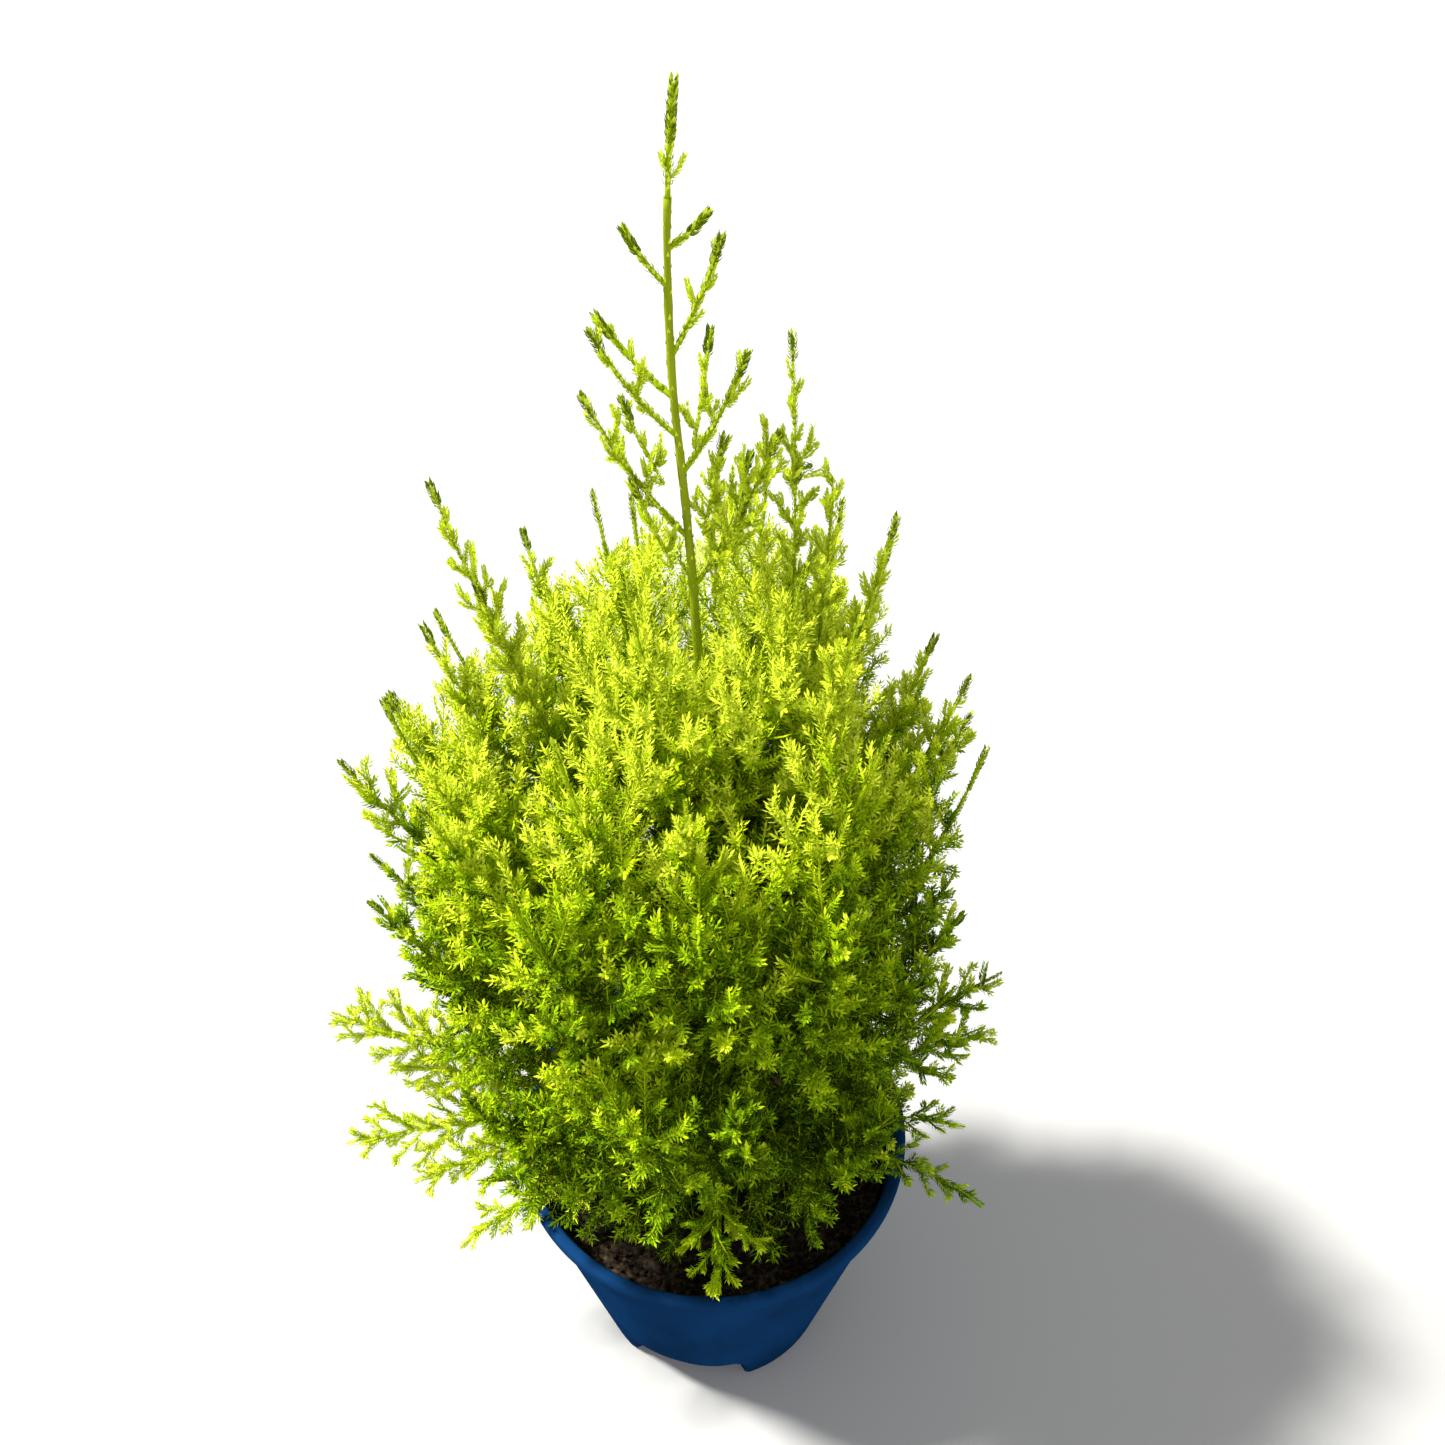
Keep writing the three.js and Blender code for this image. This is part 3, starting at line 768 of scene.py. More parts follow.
# Where a spray is given a sun value, its needle tints are painted lighter for the sunlight on it.
LOW_SPRAYS = (
    LongShoot("left_spray", 177, 141, 157, 162, 196, 34, sun=0.73),
    LongShoot("low_left_spray", 187, 131, 155, 156, 143, 32, sun=0.75),
    LongShoot("front_left_spray", 211, 119, 118, 162, 134, 22, sun=0.75),
    LongShoot("front_spray", 272, 126, 82, 172, 138, 28, sun=0.35),
    LongShoot("low_right_spray", 341, 119, 120, 160, 128, 16, sun=0.25),
    LongShoot("right_spray", 3, 144, 113, 158, 190, 36, sun=0.35),
)
SKIRT = (
    LongShoot("skirt", 214, 122, 64, 148, 136, 28),
    LongShoot("skirt", 236, 124, 68, 150, 132, 28),
    LongShoot("skirt", 254, 121, 66, 148, 128, 26),
    LongShoot("skirt", 292, 123, 68, 150, 130, 28),
    LongShoot("skirt", 312, 121, 66, 150, 134, 28),
)
FILLERS = (
    Tier("inner_low", 3, 80, 178, 4, 84, 44, 300, 52, out=0.76),
    Tier("inner_high", 5, 56, 208, 4, 86, 66, 372, 50, out=0.74),
)
# These sprays too are painted lighter by their sun value, for the sunlight on them.
SIDE_SPRAYS = (
    LongShoot("side", 181, 138, 134, 162, 176, 30, sun=0.65),
    LongShoot("side", 197, 127, 128, 160, 144, 27, sun=0.68),
    LongShoot("side", 171, 150, 122, 176, 214, 26, sun=0.45),
    LongShoot("side", 351, 131, 107, 158, 152, 22, sun=0.3),
)
# Where an edge shoot is given a sun value, its needle tints are painted lighter for the sunlight on it.
EDGE_SHOOTS = (
    LongShoot("edge", 357, 152, 112, 194, 240, 22, sun=0.3),
    LongShoot("edge", 2, 240, 56, 322, 442, 11),
    LongShoot("edge", 358, 214, 71, 282, 401, 15),
    LongShoot("edge", 2, 200, 87, 262, 364, 17),
    LongShoot("edge", 184, 190, 122, 250, 353, 18),
    LongShoot("edge", 175, 205, 108, 262, 366, 15),
    LongShoot("edge", 180, 222, 89, 292, 403, 13),
    LongShoot("edge", 186, 176, 118, 226, 312, 17),
)
LONG_SHOOTS = (
    LongShoot("second_leader", 12, 284, 24, 330, 498, 10, out=1.5, bare=0.34),
    LongShoot("curled_shoot", 353, 291, 36, 345, 458, 9, out=1.1, bare=0.34, curl=5),
    LongShoot("long_left_shoot", 183, 248, 79, 322, 457, 10, out=0.62, bare=0.5),
)
LEADER_SHOOTS = (
    LeaderShoot(524, 5, 10.5, 9, 0),
    LeaderShoot(514, 178, 11, 15, 0),
    LeaderShoot(494, 10, 14, 32, 5),
    LeaderShoot(482, 162, 22, 21, 5),
    LeaderShoot(470, 194, 23, 34, 6),
    LeaderShoot(458, 14, 19, 35, 7),
    LeaderShoot(436, 178, 29, 46, 9),
    LeaderShoot(418, 356, 25, 54, 14),
)
TOP_SHOOTS = (
    LeaderShoot(452, 30, 9, 48, 5),
    LeaderShoot(444, 170, 18, 36, 5),
    LeaderShoot(424, 20, 10, 44, 8),
    LeaderShoot(415, 185, 17, 42, 8),
    LeaderShoot(410, 40, 22, 46, 9),
    LeaderShoot(405, 330, 17, 50, 9),
)


@dataclass
class Growth:
    """Lays out every plume and shoot by the rule of the part's source."""

    trunk: Trunk
    envelope: Envelope
    azimuth_chance: float = 14
    reach_chance: float = 0.1
    top_chance: float = 18
    droops_below: float = 150
    spray_spacing: float = 3.7
    long_spacing: float = 4.8
    leader_spacing: float = 5.5
    leader_bend: tuple[float, float] = (0.6, 0.42)
    curl_turns: tuple[float, ...] = (0.3, 0.65, 1)

    def plumes(self) -> list[Plume]:
        """All plumes, in the order of the source.

        Returns:
            The plumes.
        """
        made = [self.spray(shoot) for shoot in LOW_SPRAYS]
        made += list(self.tiers(TIERS))
        made += [
            replace(self.single(shoot), slim=True, spacing=self.long_spacing, style=CLUB)
            for shoot in LONG_SHOOTS
        ]
        made += [self.leader_shoot(i, shoot) for i, shoot in enumerate(LEADER_SHOOTS)]
        made.append(self.leader_tip())
        return made

    def axis(self, shoot: LongShoot, shifted: bool = False) -> Path:
        """The axis from the middle of the trunk to the tip.

        Args:
            shoot: The shoot's root, bend and tip.
            shifted: Whether the tip follows the crown's middle.

        Returns:
            The axis.
        """
        start = self.trunk.point(shoot.root)
        shift = float(self.envelope.shift(np.array(shoot.top))) if shifted else 0.0
        tip = heading(shoot.azimuth) * shoot.reach + np.array([shift, 0, shoot.top])
        middle = mix(start, tip, shoot.out)
        middle[2] = shoot.bend
        rise = bent_curve(start, middle, tip, np.linspace(0, 1, 201)[:, None])
        if not shoot.curl:
            return Path(rise)
        knots = list(Path(rise).at(np.linspace(0, 1, 9)))
        for turn in self.curl_turns:
            inward = -heading(shoot.azimuth) * shoot.curl * (1 - math.cos(math.pi * turn))
            knots.append(tip + inward + UP * shoot.curl * math.sin(math.pi * turn))
        return Path(smooth_row(np.array(knots)))

    def single(self, shoot: LongShoot, droops: bool = False, shifted: bool = False) -> Plume:
        """A plume that is placed by itself."""
        axis = self.axis(shoot, shifted)
        # The shoot's painted sun goes on to its plume.
        return Plume(shoot.name, shoot.azimuth, shoot.spread, axis, shoot.bare, droops=droops, sun=shoot.sun)

    def spray(self, shoot: LongShoot) -> Plume:
        """A plump spray low on the trunk."""
        made = self.single(shoot, droops=shoot.top < self.droops_below)
        return replace(made, slim=True, spacing=self.spray_spacing, style=PLUMP)

    def tiers(self, tiers: Sequence[Tier]) -> Iterator[Plume]:
        """The plumes of each tier, set round the trunk.

        Args:
            tiers: The tiers, from the lowest up.

        Yields:
            One plume after another.
        """
        numbers = SeededNumbers(SEED)
        for tier in tiers:
            for i in range(tier.count):
                step = (i * 2) % tier.count if tier.count % 2 else i
                root = tier.root + tier.root_step * step
                azimuth = tier.first + 360 * i / tier.count + self.azimuth_chance * (numbers.draw() - 0.5)
                reach = tier.reach * (1 + self.reach_chance * (numbers.draw() - 0.5))
                top = tier.top + self.top_chance * (numbers.draw() - 0.5)
                name = f"{tier.name}_plume_{i + 1}"
                shoot = LongShoot(name, azimuth, root, reach, root + tier.rise, top, tier.spread, tier.out)
                plume = Plume(name, azimuth, tier.spread, self.axis(shoot, True), tier.bare, in_crown=True)
                yield replace(plume, bough_end=tier.bough, bare=max(tier.bough, tier.bare))

    def leader_shoot(self, number: int, shoot: LeaderShoot) -> Plume:
        """A side shoot of the leader.

        Args:
            number: Its number, counted from 0.
            shoot: Where it grows and how far it goes.

        Returns:
            The shoot.
        """
        out, up = self.leader_bend
        start = self.trunk.point(shoot.height)
        tip = start + heading(shoot.azimuth) * shoot.out + UP * shoot.up
        bend = mix(start, tip, out)
        bend[2] = start[2] + shoot.up * up
        axis = Path(bent_curve(start, bend, tip, np.linspace(0, 1, 101)[:, None]))
        slim = Plume(f"leader_shoot_{number + 1}", shoot.azimuth, shoot.spread, axis, slim=True)
        return replace(slim, spacing=self.leader_spacing, style=CLUB, stem_end=0.6)

    def leader_tip(self) -> Plume:
        """The leader's last length, with a pair of side shoots and the top tuft.

        Returns:
            The tip.
        """
        low = self.trunk.share(self.trunk.end_height)
        axis = Path(self.trunk.path.at(np.linspace(low, 1, 40)))
        tip = Plume("leader_tip", 0, 5.5, axis, bare=0.12, slim=True, turn=math.pi, last=0.27)
        return replace(tip, spacing=2.1, style=CLUB, stem_end=0.95, tuft=15.0)

    def edge_ring(self, ring: EdgeRing) -> Iterator[LongShoot]:
        """The plump shoots round the crown, set by the golden angle from the lowest up.

        Args:
            ring: Their number, heights and reach.

        Yields:
            One shoot after another.
        """
        for i in range(ring.count):
            share = (i + 0.5) / ring.count
            top = mix(ring.low, ring.high, share)
            azimuth = ring.first + math.degrees(i * GOLDEN_ANGLE)
            reach = float(self.envelope.radius(np.array(top - ring.shoulder))) + ring.out
            root, bend = (top - by - more * share for by, more in (ring.root_below, ring.bend_below))
            root, bend = max(root, ring.least_root), max(bend, ring.least_bend)
            spread = mix(ring.spread_low, ring.spread_high, share)
            yield LongShoot("edge", azimuth, root, reach, bend, top, spread)


@dataclass
class Space:
    """Tells which plume's axis is nearest, so that each plume keeps mostly to its own space."""

    plumes: list[Plume]
    samples: int = 24

    def __post_init__(self) -> None:
        """Samples every axis as straight stretches."""
        rows = np.stack([plume.axis.at(np.linspace(0, 1, self.samples + 1)) for plume in self.plumes])
        self.low = rows[:, :-1]
        self.along = rows[:, 1:] - rows[:, :-1]
        self.square = np.maximum((self.along**2).sum(-1), SHORT)

    def distances(self, points: Array) -> Array:
        """The distance of each point from each axis.

        Args:
            points: Points, one row each.

        Returns:
            One row for each point and one column for each plume.
        """
        away = points[:, None, None] - self.low
        share = np.clip((away * self.along).sum(-1) / self.square, 0, 1)
        return np.linalg.norm(away - share[..., None] * self.along, axis=-1).min(-1)

    def own(self, number: int, points: Array, slack: float) -> Array:
        """Whether points are nearer to a plume's axis than to any other.

        Args:
            number: The plume's number.
            points: Points, one row each.
            slack: How much further away its axis may be.

        Returns:
            True for each point in the plume's own space.
        """
        distances = self.distances(points)
        mine = distances[:, number].copy()
        distances[:, number] = np.inf
        return mine < distances.min(-1) + slack


@dataclass
class Twigs:
    """Many twigs as quadratic curves, with how their needles stand."""

    start: Array
    bend: Array
    end: Array
    root_radius: Array
    tone: Array
    # Painted light at each twig, which picks its needles' tint.
    light: Array
    needle: Array
    width: Array
    opening: Array
    pitch: Array
    first: Array

    @staticmethod
    def joined(parts: Sequence["Twigs"]) -> "Twigs":
        """Several sets as one."""
        names = Twigs.__dataclass_fields__
        return Twigs(*(np.concatenate([getattr(part, name) for part in parts]) for name in names))

    def at(self, share: Array, which: Array | slice = slice(None)) -> Array:
        """Points of the chosen twigs at shares."""
        return bent_curve(self.start[which], self.bend[which], self.end[which], share[..., None])

    def tangent(self, share: Array, which: Array | slice = slice(None)) -> Array:
        """Directions of the chosen twigs at shares."""
        first = (self.bend[which] - self.start[which]) * (1 - share[..., None])
        return unit(first + (self.end[which] - self.bend[which]) * share[..., None])

    def lengths(self) -> Array:
        """The twigs' lengths, from a few stretches each."""
        rows = [self.at(np.full(len(self.start), u)) for u in (0, 0.25, 0.5, 0.75, 1)]
        return sum(np.linalg.norm(b - a, axis=-1) for a, b in zip(rows, rows[1:]))


@dataclass
class TwigMesh:
    """Turns twigs into closed tapering limbs of a few faces."""

    sides: int = 3
    steps: int = 4
    tip_share: float = 0.25

    def arrays(self, twigs: Twigs) -> tuple[Array, Array]:
        """The limbs' vertices and triangles.

        Args:
            twigs: The twigs.

        Returns:
            Vertices and triangles.
        """
        count = len(twigs.start)
        helper = aside(twigs.tangent(np.zeros(count)))
        rings = []
        for share in np.linspace(0, 1, self.steps + 1)[:-1]:
            u = np.full(count, share)
            place, along = twigs.at(u), twigs.tangent(u)
            across = unit(np.cross(along, helper))
            third = np.cross(along, across)
            radius = (twigs.root_radius * mix(1, self.tip_share, share))[:, None]
            for k in range(self.sides):
                turn = 2 * math.pi * k / self.sides
                rings.append(place + radius * (math.cos(turn) * across + math.sin(turn) * third))
        rings.append(twigs.at(np.ones(count)))
        vertices = np.stack(rings, axis=1)
        return vertices.reshape(-1, 3), copies(self.faces(), count, vertices.shape[1])

    def faces(self) -> list[tuple[int, int, int]]:
        """One limb's triangles: the foot's cap, the sides and the pointed tip.

        Returns:
            Rows of three corner numbers.
        """
        n = self.sides
        rows = [(0, k + 1, k) for k in range(1, n - 1)]
        for ring in range(self.steps - 1):
            for k in range(n):
                a, b = ring * n + k, ring * n + (k + 1) % n
                rows += [(a, b, b + n), (a, b + n, a + n)]
        last = (self.steps - 1) * n
        return rows + [(last + k, last + (k + 1) % n, self.steps * n) for k in range(n)]


@dataclass
class NeedleMesh:
    """Sets twigs with needles, in pairs that turn by a quarter from one to the next.

    A needle is a pointed blade that is folded along its middle.
    """

    FACES = ((0, 1, 3), (0, 3, 2))

    fold_share: float = 0.07
    waist: float = 0.42
    closing: float = 0.45
    pair_place: float = 0.6
    turn_chance: float = 0.5
    opening_chance: float = 0.3
    length_chance: float = 0.4
    tip_closing: float = 0.4
    tip_from: float = 0.8
    tip_fade: float = 0.2
    tip_light: float = 0.46
    light_middle: float = 0.45
    fresh_in_tuft: float = 0.22

    def arrays(self, twigs: Twigs, chance: np.random.Generator) -> tuple[Array, Array]:
        """The needles' corners and how bright each needle stands.

        Args:
            twigs: The twigs that carry them.
            chance: The seeded source of small differences.

        Returns:
            Corners as rows of four points, and one painted light value for each needle, which picks its
            tint.
        """
        lengths = twigs.lengths() * (1 - twigs.first)
        pairs = np.maximum(np.round(lengths / twigs.pitch), 1).astype(int)
        twig, order = numbered(pairs)
        share = twigs.first[twig] + (order + self.pair_place) / pairs[twig] * (1 - twigs.first[twig])
        twig, share, order = (np.repeat(row, 2) for row in (twig, share, order))
        count = len(twig)
        half = np.tile([0.0, math.pi], count // 2)
        phase = (chance.random(len(pairs)) * 2 * math.pi)[twig]
        turn = phase + half + order * math.pi / 2 + self.turn_chance * (chance.random(count) - 0.5)
        along = twigs.tangent(share, twig)
        outward = around(turn, *frame_of(along))
        opening = twigs.opening[twig] * (1 - self.closing * share**2)
        opening = opening * near_one(self.opening_chance, chance.random(count))
        point = around(opening, along, outward)
        width = unit(np.cross(outward, along))
        back = np.cross(point, width)
        length = twigs.needle[twig] * near_one(self.length_chance, chance.random(count))
        length *= 1 - self.tip_closing * np.clip((share - self.tip_from) / self.tip_fade, 0, 1) ** 2
        root = twigs.at(share, twig) + NEEDLE_SEAT * twigs.root_radius[twig][:, None] * outward
        half_width = 0.5 * twigs.width[twig][:, None] * width
        fold = (self.fold_share * twigs.needle[twig])[:, None] * back
        along_needle = length[:, None] * point
        middle = root + self.waist * along_needle + fold
        corners = [root, middle + half_width, middle - half_width, root + along_needle]
        # The twig's painted light, made paler towards its tip for the young needles there.
        light = twigs.light[twig] + self.tip_light * (share - self.light_middle)
        fresh = (light < TUFT_LIGHT) & (chance.random(count) < self.fresh_in_tuft)
        light[fresh] -= TUFT_TONE
        return np.stack(corners, axis=1), light


@dataclass(frozen=True)
class PaintedDaylight:
    """Painted light and shade that pick the needles' tints: how sunny places are, from 0 deep inside and low
    down to about 1 at the sunny outside.

    Places are painted lighter with height, towards the outside and to the left, where the sun falls; towards
    the outside this also holds the paler colour of young growth. The front is painted in shade, most of all
    in a band below the crown's top.
    """

    foot: float = 110
    rise: float = 330
    shade: float = 0.1
    by_height: float = 1.06
    outside_low: float = 0.07
    outside_high: float = 0.2
    outside_most: float = 1.15
    front: float = 0.0009
    front_from: float = 0.2
    front_fade: float = 0.25
    band: float = 0.0042
    band_middle: float = 0.76
    band_half: float = 0.17
    band_depth: float = 35
    left: float = 0.0007

    def at(self, points: Array, outside: Array) -> Array:
        """The painted light at places, which picks the needles' tints.

        Args:
            points: The places, along the last axis.
            outside: How far out in the crown each place is, as a share.

        Returns:
            The light at each place.
        """
        height = np.clip((points[..., 2] - self.foot) / self.rise, 0, 1)
        outer = np.clip(outside, 0, self.outside_most)
        # Painted shade on the front, deepest in a band below the crown's top, and painted light up, out and
        # to the left.
        band = np.maximum(0, 1 - ((height - self.band_middle) / self.band_half) ** 2)
        fade = np.clip((height - self.front_from) / self.front_fade, 0, 1)
        front = self.front * np.minimum(points[..., 1], 0) * fade
        front += self.band * np.minimum(points[..., 1] + self.band_depth, 0) * band
        rim = (self.outside_low + self.outside_high * height) * outer**2
        return self.shade + self.by_height * height**3 + rim + front - self.left * points[..., 0]


@dataclass(frozen=True)
class YoungWood:
    """How needles change on the young wood high up: from where, and by how much at most."""

    low: float = 290
    fade: float = 170
    shorter: float = 0.15
    closer: float = 0.15
    flatter: float = 0.32
    slimmer: float = 0.25


@dataclass(frozen=True)
class SprayRule:
    """How a plume branches into side shoots."""

    opening: float = 64
    closing: float = 26
    opening_chance: float = 12
    turn_chance: float = 0.5
    length_at_foot: float = 0.6
    swell: float = 1.4
    fall: float = 0.84
    slim_fall: float = 0.72
    fall_power: float = 2.8
    length_chance: float = 0.5
    rise: float = 0.25
    high_rise: float = 0.6
    droop_rise: float = 0.08
    rise_from: float = 150
    rise_fade: float = 200
    forward: float = 0.92
    least: float = 5
    slim_least: float = 2
    radius: float = 0.55
    tone_range: float = 0.46
    short_of: float = 0.06


@dataclass(frozen=True)
class TwigRule:
    """How a side shoot branches into fine twigs, and a stem into short ones."""

    opening: float = 50
    closing: float = 0.35
    opening_chance: float = 0.3
    first: float = 0.1
    reach: float = 0.86
    crowding: float = 0.9
    share: float = 0.38
    longest: float = 12.5
    shortest: float = 3.2
    length_chance: float = 0.6
    length_at_foot: float = 0.45
    swell: float = 1.6
    fall: float = 0.72
    fall_power: float = 1.5
    radius: float = 0.34
    rise: float = 0.12
    high_rise: float = 0.5
    rise_from: float = 260
    rise_fade: float = 140
    tone_chance: float = 0.14
    tip_tone: float = 0.46
    on_stem: float = 8.5
    stem_radius: float = 0.5


@dataclass
class Zone:
    """One zone of the crown: the solids that it stands for, and its shoots and twigs so far."""

    label: str
    slot: str
    nodes: list[str] = field(default_factory=list)
    shoots: list[Twigs] = field(default_factory=list)
    twigs: list[Twigs] = field(default_factory=list)


@dataclass
class Crown:
    """The foliage: stems, side shoots, twigs and needles of every plume."""

    growth: Growth
    rule: SprayRule = SprayRule()
    twig_rule: TwigRule = TwigRule()
    young_wood: YoungWood = YoungWood()
    # The painted light and shade that pick the needles' tints.
    painted_daylight: PaintedDaylight = PaintedDaylight()
    stem_radius: float = 1.45
    slim_stem: float = 0.6
    coated_stem: float = 0.8
    coat_from: float = 0.4
    slim_coat_from: float = 0.06
    stem_steps: int = 8
    stem_overlap: float = 1.25
    thin_radius: float = 0.8
    top_stem_from: float = 0.3
    probes: int = 16
    probe_from: float = 0.1
    margin: float = 1.5
    slack: float = 16.0
    inner_low: float = 120
    inner_high: float = 390
    inner_spread: float = 50
    inner_spacing: float = 2.3
    filler_spacing: float = 3.6
    edge_spacing: float = 4.2
    crown_edge: float = 0.88
    edge_chance: float = 0.14
    core: float = 0.55
    plump_from: float = 0.86
    twig_edge: float = 1.03
    high_from: float = 300
    scales_from: float = 330
    scale_seat: float = 0.25
    tuft_length: float = 11.0
    slim_tuft: float = 8.0
    tuft_radius: float = 1.3
    leader_foot: float = 394
    leader_place: float = -4
    leader_gap: float = 4.5
    view_slope: float = 0.75

    def __post_init__(self) -> None:
        """Lays out the plumes and the space between them."""
        self.envelope = self.growth.envelope
        self.plumes = self.growth.plumes()
        self.space = Space(self.plumes)
        self.chance = np.random.default_rng(SEED)

    def shows_leader(self, points: Array) -> Array:
        """Whether points leave the leader in view from the front, down to where the crown closes round it.

        Args:
            points: Points along the last axis.

        Returns:
            True for each point that leaves it in view.
        """
        sight = points[..., 2] + self.view_slope * points[..., 1]
        beside = np.abs(points[..., 0] - self.leader_place) > self.leader_gap
        return beside | (points[..., 1] > 0) | (sight < self.leader_foot)

    def is_high(self, plume: Plume) -> bool:
        """Whether a plume ends in the crown's high zone."""
        return bool(plume.axis.at(1.0)[2] >= self.high_from)

    @staticmethod
    def chain(
        path: Path, low: float, steps: int = 6, reach: Array | float = 1.0, high: float = 1.0
    ) -> tuple[Array, Array, Array]:
        """A stretch of a path as short curves that follow one another.

        Args:
            path: The path.
            low: The share where the stretch starts.
            steps: The number of curves.
            reach: How far each curve goes, as a share of its step.
            high: The share where the stretch ends.

        Returns:
            The curves' starts, bends and ends.
        """
        shares = np.linspace(low, high, steps + 1)
        points = path.at(shares)
        bends = 2 * path.at((shares[1:] + shares[:-1]) / 2) - (points[1:] + points[:-1]) / 2
        return points[:-1], bends, mix(points[:-1], points[1:], reach)

    def twig_set(
        self, start: Array, bend: Array, end: Array, radius: Array | float, tone: Array | float,
        style: NeedleStyle = STAR,
    ) -> Twigs:
        """A set of twigs that share how their needles stand.

        Args:
            start: Where the twigs start.
            bend: Their middle control points.
            end: Their tips.
            radius: Their radii at the root.
            tone: How much brighter each is than its place: painted sun on its plume, with a tone of its own.
            style: How their needles stand.

        Returns:
            The twigs.
        """
        wood, each = self.young_wood, np.ones(len(start))
        young = style.young * np.clip((end[:, 2] - wood.low) / wood.fade, 0, 1)
        # Painted light: how sunny the twig's tip is, plus its tone, picks its needles' tint.
        light = self.painted_daylight.at(end, self.envelope.outside(end)) + tone
        return Twigs(
            start, bend, end, radius * each, tone * each, light,
            needle=style.length * (1 - wood.shorter * young),
            width=style.width * (1 - wood.slimmer * young),
            opening=np.radians(style.opening) * (1 - wood.flatter * young),
            pitch=style.pitch * (1 - wood.closer * young),
            first=style.first * each,
        )

    def stems(self) -> Twigs:
        """The stems of all plumes, each as a chain of short curves that overlap.

        Returns:
            The stems.
        """
        reach = np.array([self.stem_overlap] * (self.stem_steps - 1) + [1.0])[:, None]
        rows = []
        for plume in self.plumes:
            thick = self.stem_radius * (self.slim_stem if plume.slim else 1)
            taper = np.linspace(1, plume.stem_end, self.stem_steps)
            rows.append((*self.chain(plume.axis, plume.bough_end, self.stem_steps, reach), thick * taper))
        start, bend, end, radius = (np.concatenate(part) for part in zip(*rows))
        return self.twig_set(start, bend, end, radius, 0.0)

    def side_shoots(self, plume: Plume, number: Optional[int] = None) -> Twigs:
        """The side shoots of one plume, set round its stem by the golden angle.

        Args:
            plume: The plume.
            number: The plume's number, where it keeps to its own space.

        Returns:
            The shoots, each shortened to its free space.
        """
        rule = self.rule
        count = round((plume.last - plume.bare) * plume.axis.length / plume.spacing) if plume.spread else 0
        fall, least = (rule.slim_fall, rule.slim_least) if plume.slim else (rule.fall, rule.least)
        rows = []
        for i in range(count):
            along = (i + 0.5) / count
            u = plume.bare + along * (plume.last - plume.bare)
            root, tangent = plume.axis.at(u), plume.axis.tangent(u)
            level = unit(np.cross(heading(plume.azimuth + 90), tangent))
            turn = i * plume.turn + rule.turn_chance * self.chance.random()
            side = math.cos(turn) * level + math.sin(turn) * np.cross(tangent, level)
            more = rule.opening_chance * (self.chance.random() - 0.5)
            opening = math.radians(rule.opening - rule.closing * along + more)
            direction = math.cos(opening) * tangent + math.sin(opening) * side
            swell = min(1.0, rule.length_at_foot + rule.swell * along) * (1 - fall * along**rule.fall_power)
            wanted = plume.spread * swell * near_one(rule.length_chance, self.chance.random())
            height = float(np.clip((root[2] - rule.rise_from) / rule.rise_fade, 0, 1))
            rise = rule.droop_rise if plume.droops else mix(rule.rise, rule.high_rise, height)
            end = root + direction * wanted * rule.forward + UP * wanted * rise
            bend = root + direction * wanted * 0.5
            share = self.free_share(plume, number, root, bend, end)
            if share * wanted >= least:
                rows.append((root, mix(root, bend, share), bent_curve(root, bend, end, share)))
        start, bend, end = np.array(rows).reshape(-1, 3, 3).transpose(1, 0, 2)
        # Painted sun on the plume, and a tone that differs at random from shoot to shoot.
        tone = plume.sun + rule.tone_range * (self.chance.random(len(start)) - 0.5)
        return self.twig_set(start, bend, end, rule.radius, tone, plume.style)

    def free_share(self, plume: Plume, number: Optional[int], root: Array, bend: Array, end: Array) -> float:
        """How much of a shoot fits its plume's own space.

        Args:
            plume: The plume.
            number: The plume's number, where it keeps to its own space.
            root: Where the shoot starts.
            bend: Its middle control point.
            end: Its tip.

        Returns:
            The share of its length that is free.
        """
        shares = np.linspace(self.probe_from, 1, self.probes)
        points = bent_curve(root, bend, end, shares[:, None])
        free = self.envelope.clear_of_pot(points, self.margin)
        free &= self.shows_leader(points)
        if plume.in_crown:
            edge = self.crown_edge + self.edge_chance * self.chance.random() ** 3
            free &= self.envelope.outside(points) < edge
        if number is not None:
            free &= self.space.own(number, points, self.slack)
        blocked = np.flatnonzero(~free)
        return float(shares[blocked[0]] - self.rule.short_of) if len(blocked) else 1.0

    def fine_twigs(
        self, shoots: Twigs, longest: Optional[Array] = None, style: NeedleStyle = STAR
    ) -> Twigs:
        """The twigs of shoots, set round them by the golden angle.

        Args:
            shoots: The shoots.
            longest: The length of each shoot's twigs, where they don't shrink towards its tip.
            style: How the twigs' needles stand.

        Returns:
            The twigs.
        """
        rule, lengths = self.twig_rule, shoots.lengths()
        counts = np.round(rule.crowding * lengths / style.twig_way)
        counts = np.where(lengths > style.least_shoot, counts, 0).astype(int)
        parent, order = numbered(counts)
        along = (order + 0.5) / counts[parent]
        share = along if longest is not None else rule.first + rule.reach * along
        root, tangent = shoots.at(share, parent), shoots.tangent(share, parent)
        turn = (self.chance.random(len(lengths)) * 2 * math.pi)[parent] + order * GOLDEN_ANGLE
        side = around(turn, *frame_of(tangent))
        vary = near_one(rule.opening_chance, self.chance.random(len(turn)))
        opening = np.radians(rule.opening * (1 - rule.closing * along) * vary)
        direction = around(opening, tangent, side)
        if longest is None:
            bulge = np.minimum(1, rule.length_at_foot + rule.swell * along)
            bulge = bulge * (1 - rule.fall * along**rule.fall_power)
            wanted = np.minimum(rule.longest, rule.share * lengths[parent]) * bulge
        else:
            wanted = longest[parent]
        vary = near_one(rule.length_chance, self.chance.random(len(turn)))
        wanted = np.maximum(wanted * vary, rule.shortest)
        high = np.clip((root[:, 2] - rule.rise_from) / rule.rise_fade, 0, 1)
